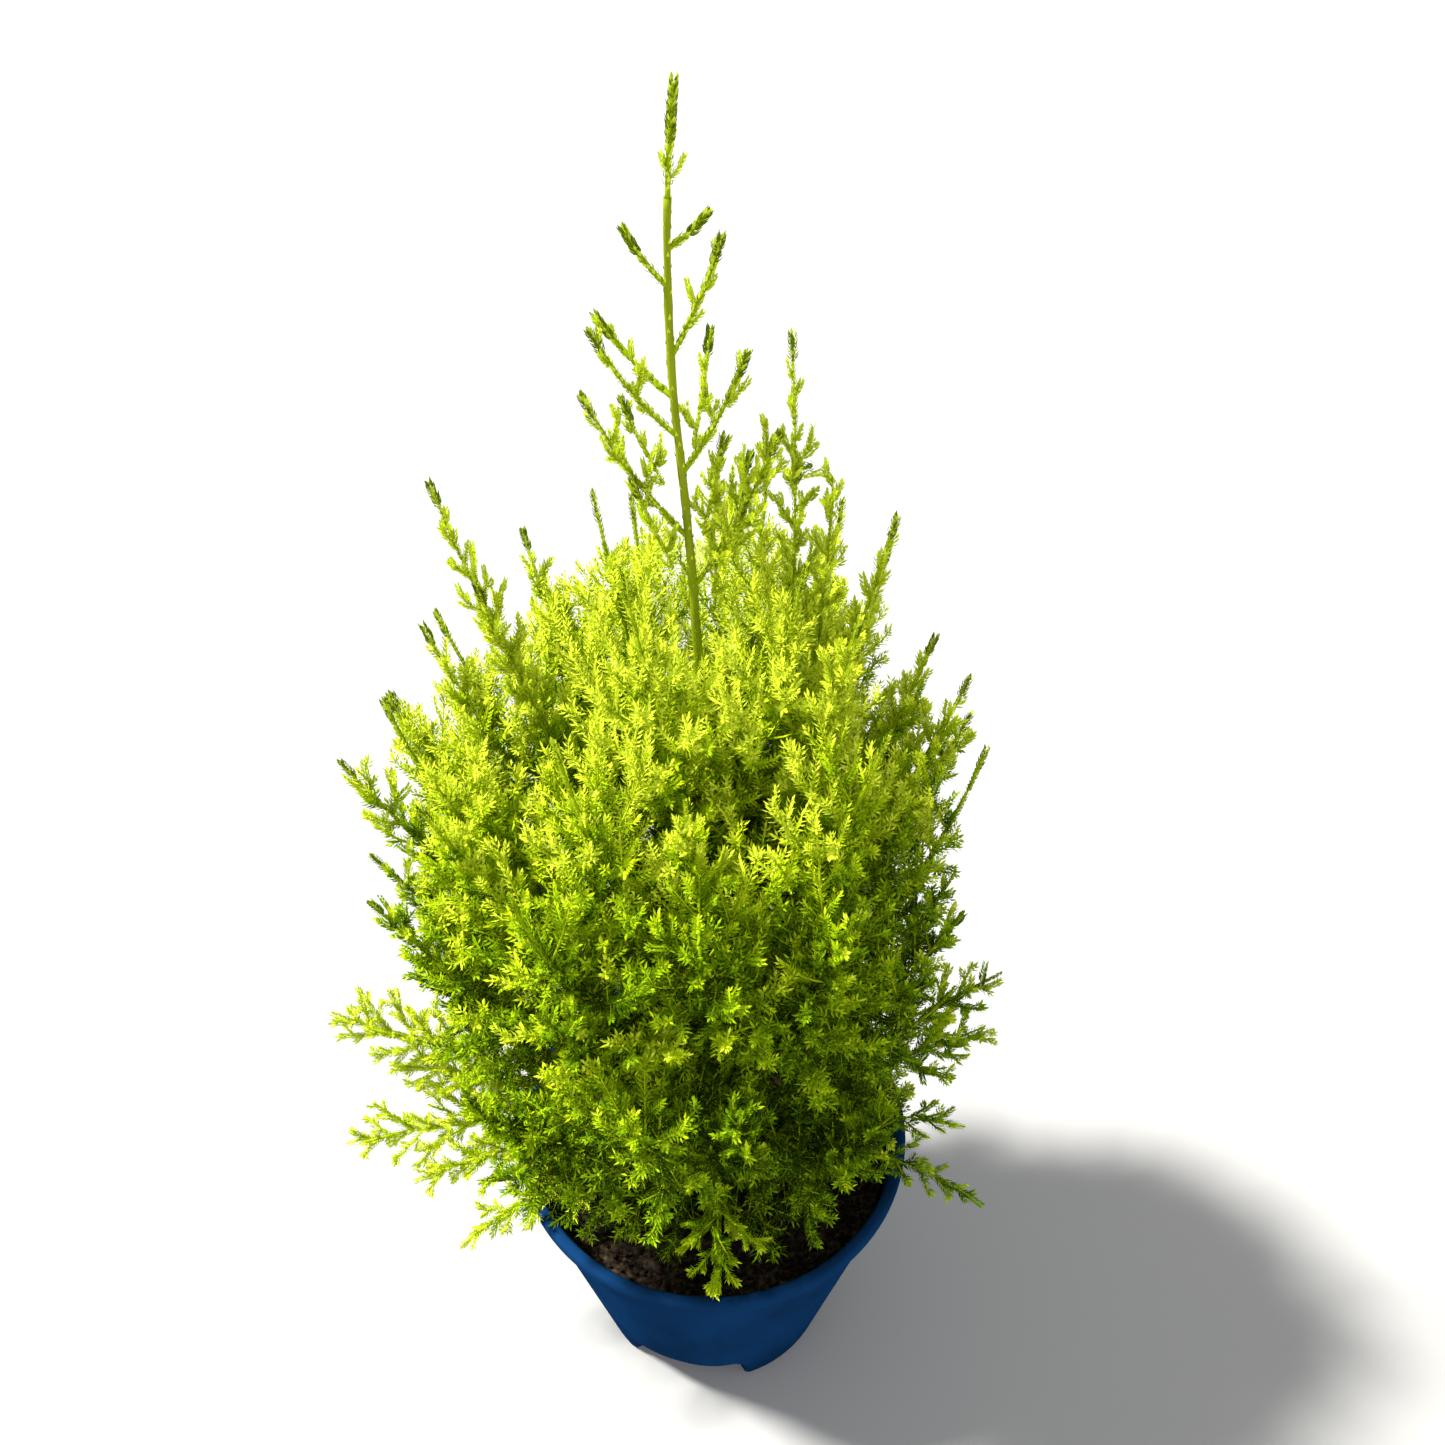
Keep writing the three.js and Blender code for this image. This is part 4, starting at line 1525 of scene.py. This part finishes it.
        lift = mix(rule.rise, rule.high_rise, high)
        end = root + direction * wanted[:, None] + UP * (lift * wanted)[:, None]
        bend = root + direction * (0.5 * wanted[:, None])
        free = self.envelope.clear_of_pot(end, self.margin) & self.shows_leader(end)
        tone = shoots.tone[parent] + rule.tone_chance * (self.chance.random(len(parent)) - 0.5)
        if longest is None:
            tone += rule.tip_tone * (along - 0.5)
        sets = [(free, style)]
        if style is STAR:
            outside = self.envelope.outside(end)
            inside = free & (outside < self.plump_from) & ((outside > self.core) | (order % 2 == 0))
            edge = free & (outside >= self.plump_from) & (outside < self.twig_edge) & (order % 3 > 0)
            sets = [(inside, STAR), (edge, EDGE)]
        return Twigs.joined([
            self.twig_set(root[chosen], bend[chosen], end[chosen], rule.radius, tone[chosen], way)
            for chosen, way in sets
        ])

    def stem_twigs(self, plume: Plume) -> Twigs:
        """The short twigs straight on a plume's stem, which end in a slim tassel at its tip.

        Args:
            plume: The plume.

        Returns:
            The twigs.
        """
        row = self.chain(plume.axis, plume.bare, self.stem_steps)
        # Painted sun on the plume, and a tone that differs at random.
        tone = plume.sun + self.rule.tone_range * (self.chance.random() - 0.5)
        longest = self.twig_rule.on_stem * (1 - 0.5 * np.linspace(0, 1, self.stem_steps) ** 3)
        return self.fine_twigs(self.twig_set(*row, self.twig_rule.stem_radius, tone), longest)

    def coats(self) -> Twigs:
        """The short needles that hug the plumes' stems, and the leader's scale leaves.

        Returns:
            The stretches that carry them.
        """
        parts = []
        for plume in self.plumes:
            low = self.slim_coat_from if plume.slim else max(plume.bare, self.coat_from)
            seat = self.stem_radius * (self.slim_stem if plume.slim else self.coated_stem) / NEEDLE_SEAT
            row = self.chain(plume.axis, low)
            taper = np.linspace(0.9, plume.stem_end, len(row[0]))
            style = PLUMP if plume.style is PLUMP else HUGGING
            # The coat takes the plume's painted sun, with the coat's own tone.
            parts.append(self.twig_set(*row, seat * taper, plume.sun + COAT_TONE, style))
        trunk = self.growth.trunk
        row = self.chain(trunk.path, trunk.share(self.scales_from), 30, high=trunk.share(trunk.end_height))
        seat = (trunk.radius(row[0][:, 2]) - self.scale_seat) / NEEDLE_SEAT
        parts.append(self.twig_set(*row, seat, COAT_TONE, SCALE))
        return Twigs.joined(parts)

    def tufts(self, plumes: Sequence[Plume]) -> Twigs:
        """The dense dark tufts at the tips of the high plumes and of the leader's shoots.

        Args:
            plumes: The plumes and shoots.

        Returns:
            The stretches that carry them.
        """
        parts = []
        for plume in filter(self.is_high, plumes):
            length = plume.tuft or (self.slim_tuft if plume.slim else self.tuft_length)
            row = self.chain(plume.axis, max(0.0, 1 - length / plume.axis.length), 1)
            parts.append(self.twig_set(*row, self.tuft_radius, TUFT_TONE, TIP if plume.slim else TASSEL))
        return Twigs.joined(parts)

    def grow(self, zone: Zone, plume: Plume, number: Optional[int] = None) -> None:
        """Adds a plume's side shoots and twigs to a zone.

        Args:
            zone: The zone.
            plume: The plume.
            number: The plume's number, where it keeps to its own space.
        """
        shoots = self.side_shoots(plume, number)
        zone.shoots.append(shoots)
        if plume.style is SHOOT:
            zone.twigs += [self.fine_twigs(shoots), self.stem_twigs(plume)]
        else:
            zone.twigs.append(self.fine_twigs(shoots, style=plume.style))

    def thin_stem(
        self, zone: Zone, plume: Plume, low: float, radius: float, tone: float, style: NeedleStyle = STAR
    ) -> None:
        """Adds the stem of a plume that has no solid of its own to a zone.

        Args:
            zone: The zone.
            plume: The plume.
            low: The share of its axis where the stem starts.
            radius: The stem's radius.
            tone: How much brighter its needles are than their place.
            style: How its needles stand.
        """
        zone.shoots.append(self.twig_set(*self.chain(plume.axis, low), radius, tone, style))

    def tops(self) -> list[Plume]:
        """The shoots round the leader's foot and those that stand out of the crown.

        Returns:
            The shoots.
        """
        made = [self.growth.single(shoot) for shoot in EDGE_SHOOTS]
        made += [self.growth.single(shoot, shifted=True) for shoot in self.growth.edge_ring(EdgeRing())]
        plump = [replace(one, slim=True, spacing=self.edge_spacing, bare=0.5, style=PLUMP) for one in made]
        return [self.growth.leader_shoot(i, shoot) for i, shoot in enumerate(TOP_SHOOTS)] + plump

    def inner(self) -> Plume:
        """The foliage right round the trunk, as one plume on the trunk's own axis.

        Returns:
            The plume.
        """
        trunk = self.growth.trunk
        shares = np.linspace(trunk.share(self.inner_low), trunk.share(self.inner_high), 80)
        axis = Path(trunk.path.at(shares))
        made = Plume("inner", 0, self.inner_spread, axis, bare=0.0, in_crown=True)
        return replace(made, spacing=self.inner_spacing, style=INNER)

    def build(self) -> None:
        """Grows the foliage and settles its pieces."""
        low, high = Zone("low", "green_needles"), Zone("high", "lime_needles")
        self.grow(low, self.inner())
        for plume in [self.growth.single(shoot, droops=True) for shoot in SKIRT]:
            self.grow(low, plume)
            self.thin_stem(low, plume, 0, self.thin_radius, 0.0)
        for plume in map(self.growth.spray, SIDE_SPRAYS):
            self.grow(low, plume)
            # The stem's needles take the spray's painted sun.
            self.thin_stem(low, plume, 0, self.stem_radius * self.slim_stem, plume.sun, PLUMP)
        tops = self.tops()
        for plume in tops:
            self.grow(high, plume)
            self.thin_stem(high, plume, self.top_stem_from, self.thin_radius, COAT_TONE, HUGGING)
        for plume in self.growth.tiers(FILLERS):
            self.grow(high, replace(plume, spacing=self.filler_spacing))
            self.thin_stem(high, plume, 0, self.thin_radius, 0.0)
        for number, plume in enumerate(self.plumes):
            zone = high if self.is_high(plume) else low
            zone.nodes.append(plume.name)
            self.grow(zone, plume, None if plume.slim else number)
        self.settle_zone(low)
        self.settle_zone(high, [self.coats(), self.tufts(self.plumes + tops)])
        stems = mesh_object("stems", *TwigMesh(sides=6, steps=3, tip_share=0.9).arrays(self.stems()))
        settle(stems, "bark", [plume.name for plume in self.plumes], STEM_BARK)

    def settle_zone(self, zone: Zone, extra: Sequence[Twigs] = ()) -> None:
        """Makes the pieces of one zone: its twigs, and its needles by tint.

        Args:
            zone: The zone.
            extra: Stretches that carry needles but have their limbs elsewhere.
        """
        shoots, twigs = Twigs.joined(zone.shoots), Twigs.joined(zone.twigs)
        thick, thin = TwigMesh(steps=4).arrays(shoots), TwigMesh(steps=1).arrays(twigs)
        vertices = np.concatenate([thick[0], thin[0]])
        triangles = np.concatenate([thick[1], thin[1] + len(thick[0])])
        settle(mesh_object(f"twigs_{zone.label}", vertices, triangles), zone.slot, zone.nodes, TWIG_BARK)
        corners, light = NeedleMesh().arrays(Twigs.joined([shoots, twigs, *extra]), self.chance)
        tints = list(Tint)
        # The tint steps follow the painted light: lit and shaded copies of the needle green.
        step = np.clip(np.floor(light * (len(tints) - 1)) + 1, 1, len(tints) - 1).astype(int)
        step[light < TUFT_LIGHT] = 0
        most = PIECE_TRIANGLES // len(NeedleMesh.FACES)
        for number, tint in enumerate(tints):
            chosen = corners[step == number]
            for part in range(0, len(chosen), most):
                rows = chosen[part : part + most]
                name = f"{tint.value.name}_{zone.label}_{part // most + 1}"
                faces = copies(NeedleMesh.FACES, len(rows), 4)
                settle(mesh_object(name, rows.reshape(-1, 3), faces), zone.slot, zone.nodes, tint.value)


# Trunk, boughs, pot and soil


@dataclass(frozen=True)
class Limb:
    """One limb: a cylinder cut into rings and bent along a path from its foot, with the relief of its bark.

    It ends at the share of the path called end, and its radius follows from the share. The relief says how
    far the bark stands out. The rings of a level limb lie level.
    """

    path: Path
    end: float
    sides: int
    rings: int
    radius: Callable[[float], float]
    relief: float
    level: bool = False
    seam: tuple[float, float, float] = (0.13, 0.99, 0.0)
    grain: tuple[float, float, float] = (0.42, 0.42, 0.07)

    @staticmethod
    def raised(shape: bmesh.types.BMesh, edges: list, ring: list) -> tuple[list, list]:
        """Raises the open end of a limb by one ring.

        Args:
            shape: The bmesh of the limb.
            edges: The edges of the open end.
            ring: Its corners in order.

        Returns:
            The new end's edges, and its corners in the same order.
        """
        made = bmesh.ops.extrude_edge_only(shape, edges=edges)["geom"]
        edges = [item for item in made if isinstance(item, bmesh.types.BMEdge) and len(item.link_faces) == 1]
        fresh = {vertex for edge in edges for vertex in edge.verts}
        ring = [next(e.other_vert(v) for e in v.link_edges if e.other_vert(v) in fresh) for v in ring]
        return edges, ring

    def add(self, shape: bmesh.types.BMesh) -> None:
        """Adds the limb to a bmesh.

        Args:
            shape: The bmesh that takes it.
        """
        ring = list(bmesh.ops.create_circle(shape, cap_ends=True, segments=self.sides, radius=1)["verts"])
        flat = [(v.co.x, v.co.y) for v in ring]
        edges = list({e for v in ring for e in v.link_edges})
        for step in range(self.rings + 1):
            if step:
                edges, ring = self.raised(shape, edges, ring)
            u = step / self.rings * self.end
            place, along = self.path.at(u), (UP if self.level else self.path.tangent(u))
            across = unit(np.cross(along, np.array(self.seam)))
            third = np.cross(along, across)
            for vertex, (x, y) in zip(ring, flat):
                out = x * across + y * third
                rough = noise.noise(Vector((place + out * self.radius(u)) * self.grain))
                vertex.co = Vector(place + out * (self.radius(u) + self.relief * rough))
        bmesh.ops.contextual_create(shape, geom=edges)


@dataclass
class Limbs:
    """The trunk and the boughs. Up the leader, the trunk swells a little at each place of old leaves."""

    growth: Growth
    plumes: list[Plume]
    trunk_sides: int = 20
    trunk_rings: int = 150
    trunk_relief: float = 0.26
    bough_sides: int = 10
    bough_rings: int = 14
    bough_relief: float = 0.2
    bough_radius: float = 2.0
    bough_end_radius: float = 1.5
    bough_overlap: float = 0.01
    swelling: float = 0.12
    swells_from: float = 390
    swelling_rate: float = 0.42

    def trunk_radius(self, share: float) -> float:
        """The trunk's radius at a share of its axis.

        Args:
            share: The share.

        Returns:
            The radius.
        """
        trunk = self.growth.trunk
        height = trunk.path.at(share)[2]
        wave = max(0.0, math.cos(height * self.swelling_rate)) ** 8
        return float(trunk.radius(height)) + (self.swelling * wave if height > self.swells_from else 0.0)

    def build(self) -> None:
        """Makes the trunk and the boughs and settles them."""
        trunk, names = self.growth.trunk, []
        end, sides, rings = trunk.share(trunk.end_height), self.trunk_sides, self.trunk_rings
        limb = Limb(trunk.path, end, sides, rings, self.trunk_radius, self.trunk_relief, level=True)
        shape = bmesh.new()
        limb.add(shape)
        settle(bmesh_object("trunk_bark", shape), "bark", ["trunk"], BARK)
        shape = bmesh.new()
        for plume in self.plumes:
            if not plume.bough_end:
                continue
            names.append(plume.name.replace("_plume", "") + "_bough")

            def radius(share: float, last: float = plume.bough_end) -> float:
                """The bough's radius at a share of its plume's axis."""
                return mix(self.bough_radius, self.bough_end_radius, share / last)

            end = plume.bough_end + self.bough_overlap
            Limb(plume.axis, end, self.bough_sides, self.bough_rings, radius, self.bough_relief).add(shape)
        settle(bmesh_object("bough_bark", shape), "bark", names, BARK)


@dataclass
class Pot:
    """The pot: a tapered wall, a rolled lip over a collar, and a foot with shallow recesses."""

    rim: float = 85
    height: float = 131
    foot: float = 55
    wall: float = 2.2
    floor: float = 3
    lip_height: float = 7
    lip_width: float = 5.4
    lip_overhang: float = 3.6
    lip_roundness: float = 0.7
    lip_turns: tuple[float, ...] = (-80, -62, -40, -15, 15, 40, 62, 82, 100, 122, 145, 170)
    collar_height: float = 22
    collar_step: float = 1.3
    recess_count: int = 3
    recess_depth: float = 6
    recess_height: float = 28
    recess_angle: float = 59
    recess_side: float = 2.2
    recess_arch: float = 8
    first_recess: float = 257.5
    shelf_foot: float = 14
    shelf: float = 4
    steps: int = 216

    def wall_radius(self, height: float) -> float:
        """The outer radius of the wall at a height below the collar."""
        top = self.rim - self.lip_overhang - 2 * self.collar_step
        return self.foot + (top - self.foot) * height / (self.height - self.collar_height)

    def lip(self) -> list[tuple[float, float]]:
        """The rolled lip in section, from under its outer edge over the top to the inside.

        Returns:
            Pairs of a radius and a height.
        """
        rows = []
        half_across, half_up = self.lip_width / 2, self.lip_height / 2
        for turn in self.lip_turns:
            c, s = math.cos(math.radians(turn)), math.sin(math.radians(turn))
            across = math.copysign(abs(c) ** self.lip_roundness, c) * half_across
            up = math.copysign(abs(s) ** self.lip_roundness, s) * half_up
            rows.append((self.rim - half_across + across, self.height - half_up + up))
        return rows

    def outline(self) -> list[tuple[float, float]]:
        """The wall in section, from the middle of the underside round to the middle of the floor.

        Returns:
            Pairs of a radius and a height.
        """
        collar = self.height - self.collar_height
        under_lip = self.height - self.lip_height
        collar_radius = self.wall_radius(collar) + self.collar_step
        rows = [(0.0, 0.0), (30.0, 0.0), (self.foot - 1.2, 0.0), (self.foot - 0.3, 0.4), (self.foot, 1.2)]
        rows += [(self.wall_radius(z), float(z)) for z in np.linspace(2.4, self.recess_height + 1, 16)]
        rows += [(self.wall_radius(z), z) for z in (34, 55, 80, 100, collar - 1)]
        rows += [(self.wall_radius(collar) + 0.1, collar - 0.2), (collar_radius - 0.2, collar + 0.9)]
        rows += [(collar_radius, collar + 1.8), (self.rim - self.lip_overhang - 0.1, under_lip - 1)]
        rows += [(self.rim - self.lip_overhang + 0.2, under_lip), *self.lip()]
        rows += [(collar_radius - self.wall, collar), (self.wall_radius(60) - self.wall, 60.0)]
        shelf_top = self.recess_height + self.shelf
        inner = self.foot - self.recess_depth - self.wall
        rows += [(self.wall_radius(shelf_top) - self.wall, shelf_top), (inner, self.shelf_foot)]
        return rows + [(inner, self.floor), (0.0, self.floor)]

    def recess_share(self, azimuth: float) -> float:
        """How far an azimuth lies from the middle of the nearest recess.

        Args:
            azimuth: The azimuth in degrees.

        Returns:
            The share, 1 at the recess's side.
        """
        return min(
            abs((azimuth - self.first_recess - 360 * i / self.recess_count + 180) % 360 - 180)
            for i in range(self.recess_count)
        ) / (self.recess_angle / 2)

    def press_recesses(self, shape: bmesh.types.BMesh) -> None:
        """Presses the recesses into the outer wall's foot.

        Args:
            shape: The pot's shape.
        """
        for vertex in shape.verts:
            radius = math.hypot(vertex.co.x, vertex.co.y)
            if vertex.co.z > self.recess_height or radius < self.foot - 2:
                continue
            across = self.recess_share(math.degrees(math.atan2(vertex.co.y, vertex.co.x)))
            if across >= 1:
                continue
            arch = self.recess_height * math.sqrt(1 - across**self.recess_arch)
            if vertex.co.z >= arch:
                continue
            inside = min(1.0, (1 - across) * self.recess_angle / 2 / self.recess_side)
            face = mix(self.foot - self.recess_depth, self.wall_radius(arch), vertex.co.z / arch)
            share = mix(radius, min(radius, face), inside) / radius
            vertex.co.x *= share
            vertex.co.y *= share

    def build(self) -> None:
        """Spins the wall, presses the recesses in and settles the pot."""
        shape = spun(self.outline(), self.steps)
        self.press_recesses(shape)
        settle(bmesh_object("pot_shell", shape), "pot", ["pot"], PLASTIC)


@dataclass
class Soil:
    """The peat in the pot, with its crumbs and fibres."""

    FACES = ((0, 2, 1), (0, 3, 2), (0, 1, 3), (4, 1, 2), (4, 2, 3), (4, 3, 1))

    pot: Pot
    top: float = 110
    gap: float = 0.4
    lift: float = 0.3
    rings: int = 60
    ring_power: float = 1.1
    steps: int = 120
    crumbs: int = 1500
    fibres: int = 420
    crumb_length: tuple[float, float] = (1.0, 3.4)
    crumb_width: tuple[float, float] = (0.5, 0.9)
    fibre_length: tuple[float, float] = (4, 13)
    fibre_width: tuple[float, float] = (0.35, 0.8)
    fibre_slope: float = 0.25
    rough: tuple[tuple[float, float], ...] = ((0.28, 1.1), (0.9, 0.6))

    def height(self, x: Array, y: Array) -> Array:
        """The soil's top at places: low waves that are level round the trunk.

        Args:
            x: The places along X.
            y: The places along Y.

        Returns:
            The heights.
        """
        bump = np.sin(0.21 * x + 1.3) * np.cos(0.17 * y) + 0.6 * np.sin(0.33 * (x - y))
        level = np.clip((np.hypot(x, y) - 8) / 10, 0, 1)
        return self.top - self.lift + level * 0.9 * bump

    def outline(self) -> list[tuple[float, float]]:
        """The soil in section, from the middle of its underside up the wall to the middle of its top.

        Returns:
            Pairs of a radius and a height.
        """
        pot = self.pot
        edge = pot.wall_radius(self.top) - pot.wall - self.gap
        foot = pot.foot - pot.recess_depth - pot.wall - self.gap - self.lift
        shelf_top = pot.recess_height + pot.shelf
        rows = [(0.0, pot.floor + self.lift), (foot, pot.floor + self.lift), (foot, pot.shelf_foot)]
        rows.append((pot.wall_radius(shelf_top) - pot.wall - self.gap, shelf_top + 0.5))
        rows.append((edge - 0.6, self.top - 4))
        shares = [1 - (k / self.rings) ** self.ring_power for k in range(self.rings + 1)]
        return rows + [(edge * share, self.top) for share in shares]

    def surface(self) -> bmesh.types.BMesh:
        """The body of the soil with its rough top.

        Returns:
            The shape.
        """
        shape = spun(self.outline(), self.steps)
        for vertex in shape.verts:
            if vertex.co.z > self.top - 1:
                fine = sum(noise.noise(vertex.co * scale) * by for scale, by in self.rough)
                vertex.co.z = float(self.height(vertex.co.x, vertex.co.y)) + fine
        return shape

    def litter(self) -> tuple[Array, Array]:
        """Crumbs and fibres on the soil, as slim wedges of a few faces.

        Returns:
            Vertices and triangles.
        """
        chance = np.random.default_rng(SEED + 5)
        count = self.crumbs + self.fibres
        edge = self.pot.wall_radius(self.top) - self.pot.wall - 3
        radius = edge * np.sqrt(chance.random(count))
        turn = 2 * math.pi * chance.random(count)
        x, y = radius * np.cos(turn), radius * np.sin(turn)
        is_fibre = np.arange(count) >= self.crumbs
        fibre, crumb = (mix(*ends, chance.random(count)) for ends in (self.fibre_length, self.crumb_length))
        long = np.where(is_fibre, fibre, crumb)
        fibre, crumb = (mix(*ends, chance.random(count)) for ends in (self.fibre_width, self.crumb_width))
        wide = np.where(is_fibre, fibre, long * crumb)
        centre = np.stack([x, y, self.height(x, y) + 0.6 + 0.3 * wide], axis=1)
        along = unit(chance.normal(size=(count, 3)) * (1, 1, self.fibre_slope))
        across = unit(np.cross(along, UP))
        third = np.cross(along, across)
        half = 0.5 * along * long[:, None]
        ring = [0.5 * wide[:, None] * (math.cos(a) * across + math.sin(a) * third) for a in (0.3, 2.4, 4.5)]
        points = np.stack([centre - half, *(centre + corner for corner in ring), centre + half], axis=1)
        points = points[np.linalg.norm(points[..., :2], axis=-1).max(1) < edge + 1.5]
        return points.reshape(-1, 3), copies(self.FACES, len(points), 5)

    def build(self) -> None:
        """Makes the soil and its litter and settles them."""
        settle(bmesh_object("soil_body", self.surface()), "soil", ["soil"], PEAT)
        settle(mesh_object("soil_litter", *self.litter()), "soil", ["soil"], PEAT)


# The studio


@dataclass(frozen=True)
class Lamp:
    """A far light, soft by its angle in degrees, that looks at the middle of the plant."""

    name: str
    place: tuple[float, float, float]
    angle: float
    power: float
    colour: Colour
    target: tuple[float, float, float] = (0, 0, 0.28)

    def build(self) -> None:
        """Makes the light."""
        data = bpy.data.lights.new(self.name, "SUN")
        data.angle, data.energy, data.color = math.radians(self.angle), self.power, self.colour
        lamp = linked(self.name, data)
        lamp.location = self.place
        lamp.rotation_euler = (Vector(self.target) - Vector(self.place)).to_track_quat("-Z", "Y").to_euler()


@dataclass
class Studio:
    """A pale floor, soft light and the camera of the photograph."""

    lamps: tuple[Lamp, ...] = (
        Lamp("key", (-1.1, 0.12, 1.95), angle=7, power=7.4, colour=(1, 0.98, 0.92)),
        Lamp("fill", (0.6, -1.6, 1.4), angle=40, power=0.5, colour=(0.92, 0.96, 1)),
    )
    sky: float = 0.55
    place: tuple[float, float, float] = (0.0046, -0.3494, 0.6681)
    tilt: float = 48.9
    lens: float = 34.88
    sensor: float = 36.0
    floor_size: float = 12.0
    floor_finish: Finish = Finish("pale_floor", (0.45, 0.45, 0.45), 0.9, 0.0)

    def floor(self) -> None:
        """The plain pale floor."""
        shape = bmesh.new()
        bmesh.ops.create_grid(shape, x_segments=1, y_segments=1, size=self.floor_size / 2 / MM)
        floor = bmesh_object("floor", shape, closed=False)
        floor.data.materials.append(self.floor_finish.material())

    def camera(self) -> None:
        """The camera."""
        data = bpy.data.cameras.new("camera")
        data.lens, data.sensor_width = self.lens, self.sensor
        camera = linked("camera", data)
        camera.location = self.place
        camera.rotation_euler = (math.radians(self.tilt), 0, 0)
        bpy.context.scene.camera = camera

    def build(self) -> None:
        """Makes the floor, the lights and the camera."""
        self.floor()
        world = bpy.data.worlds.new("studio")
        world.use_nodes = True
        world.node_tree.nodes["Background"].inputs["Color"].default_value = (1, 1, 1, 1)
        world.node_tree.nodes["Background"].inputs["Strength"].default_value = self.sky
        bpy.context.scene.world = world
        for lamp in self.lamps:
            lamp.build()
        self.camera()
        bpy.context.scene.view_settings.view_transform = "Standard"


def main() -> None:
    """Builds the plant, its pot and the studio."""
    logging.basicConfig(level=logging.INFO, format="%(name)s %(message)s")
    growth = Growth(Trunk(), Envelope())
    crown = Crown(growth)
    Limbs(growth, crown.plumes).build()
    crown.build()
    pot = Pot()
    pot.build()
    Soil(pot).build()
    Studio().build()


if __name__ == "__main__":
    main()
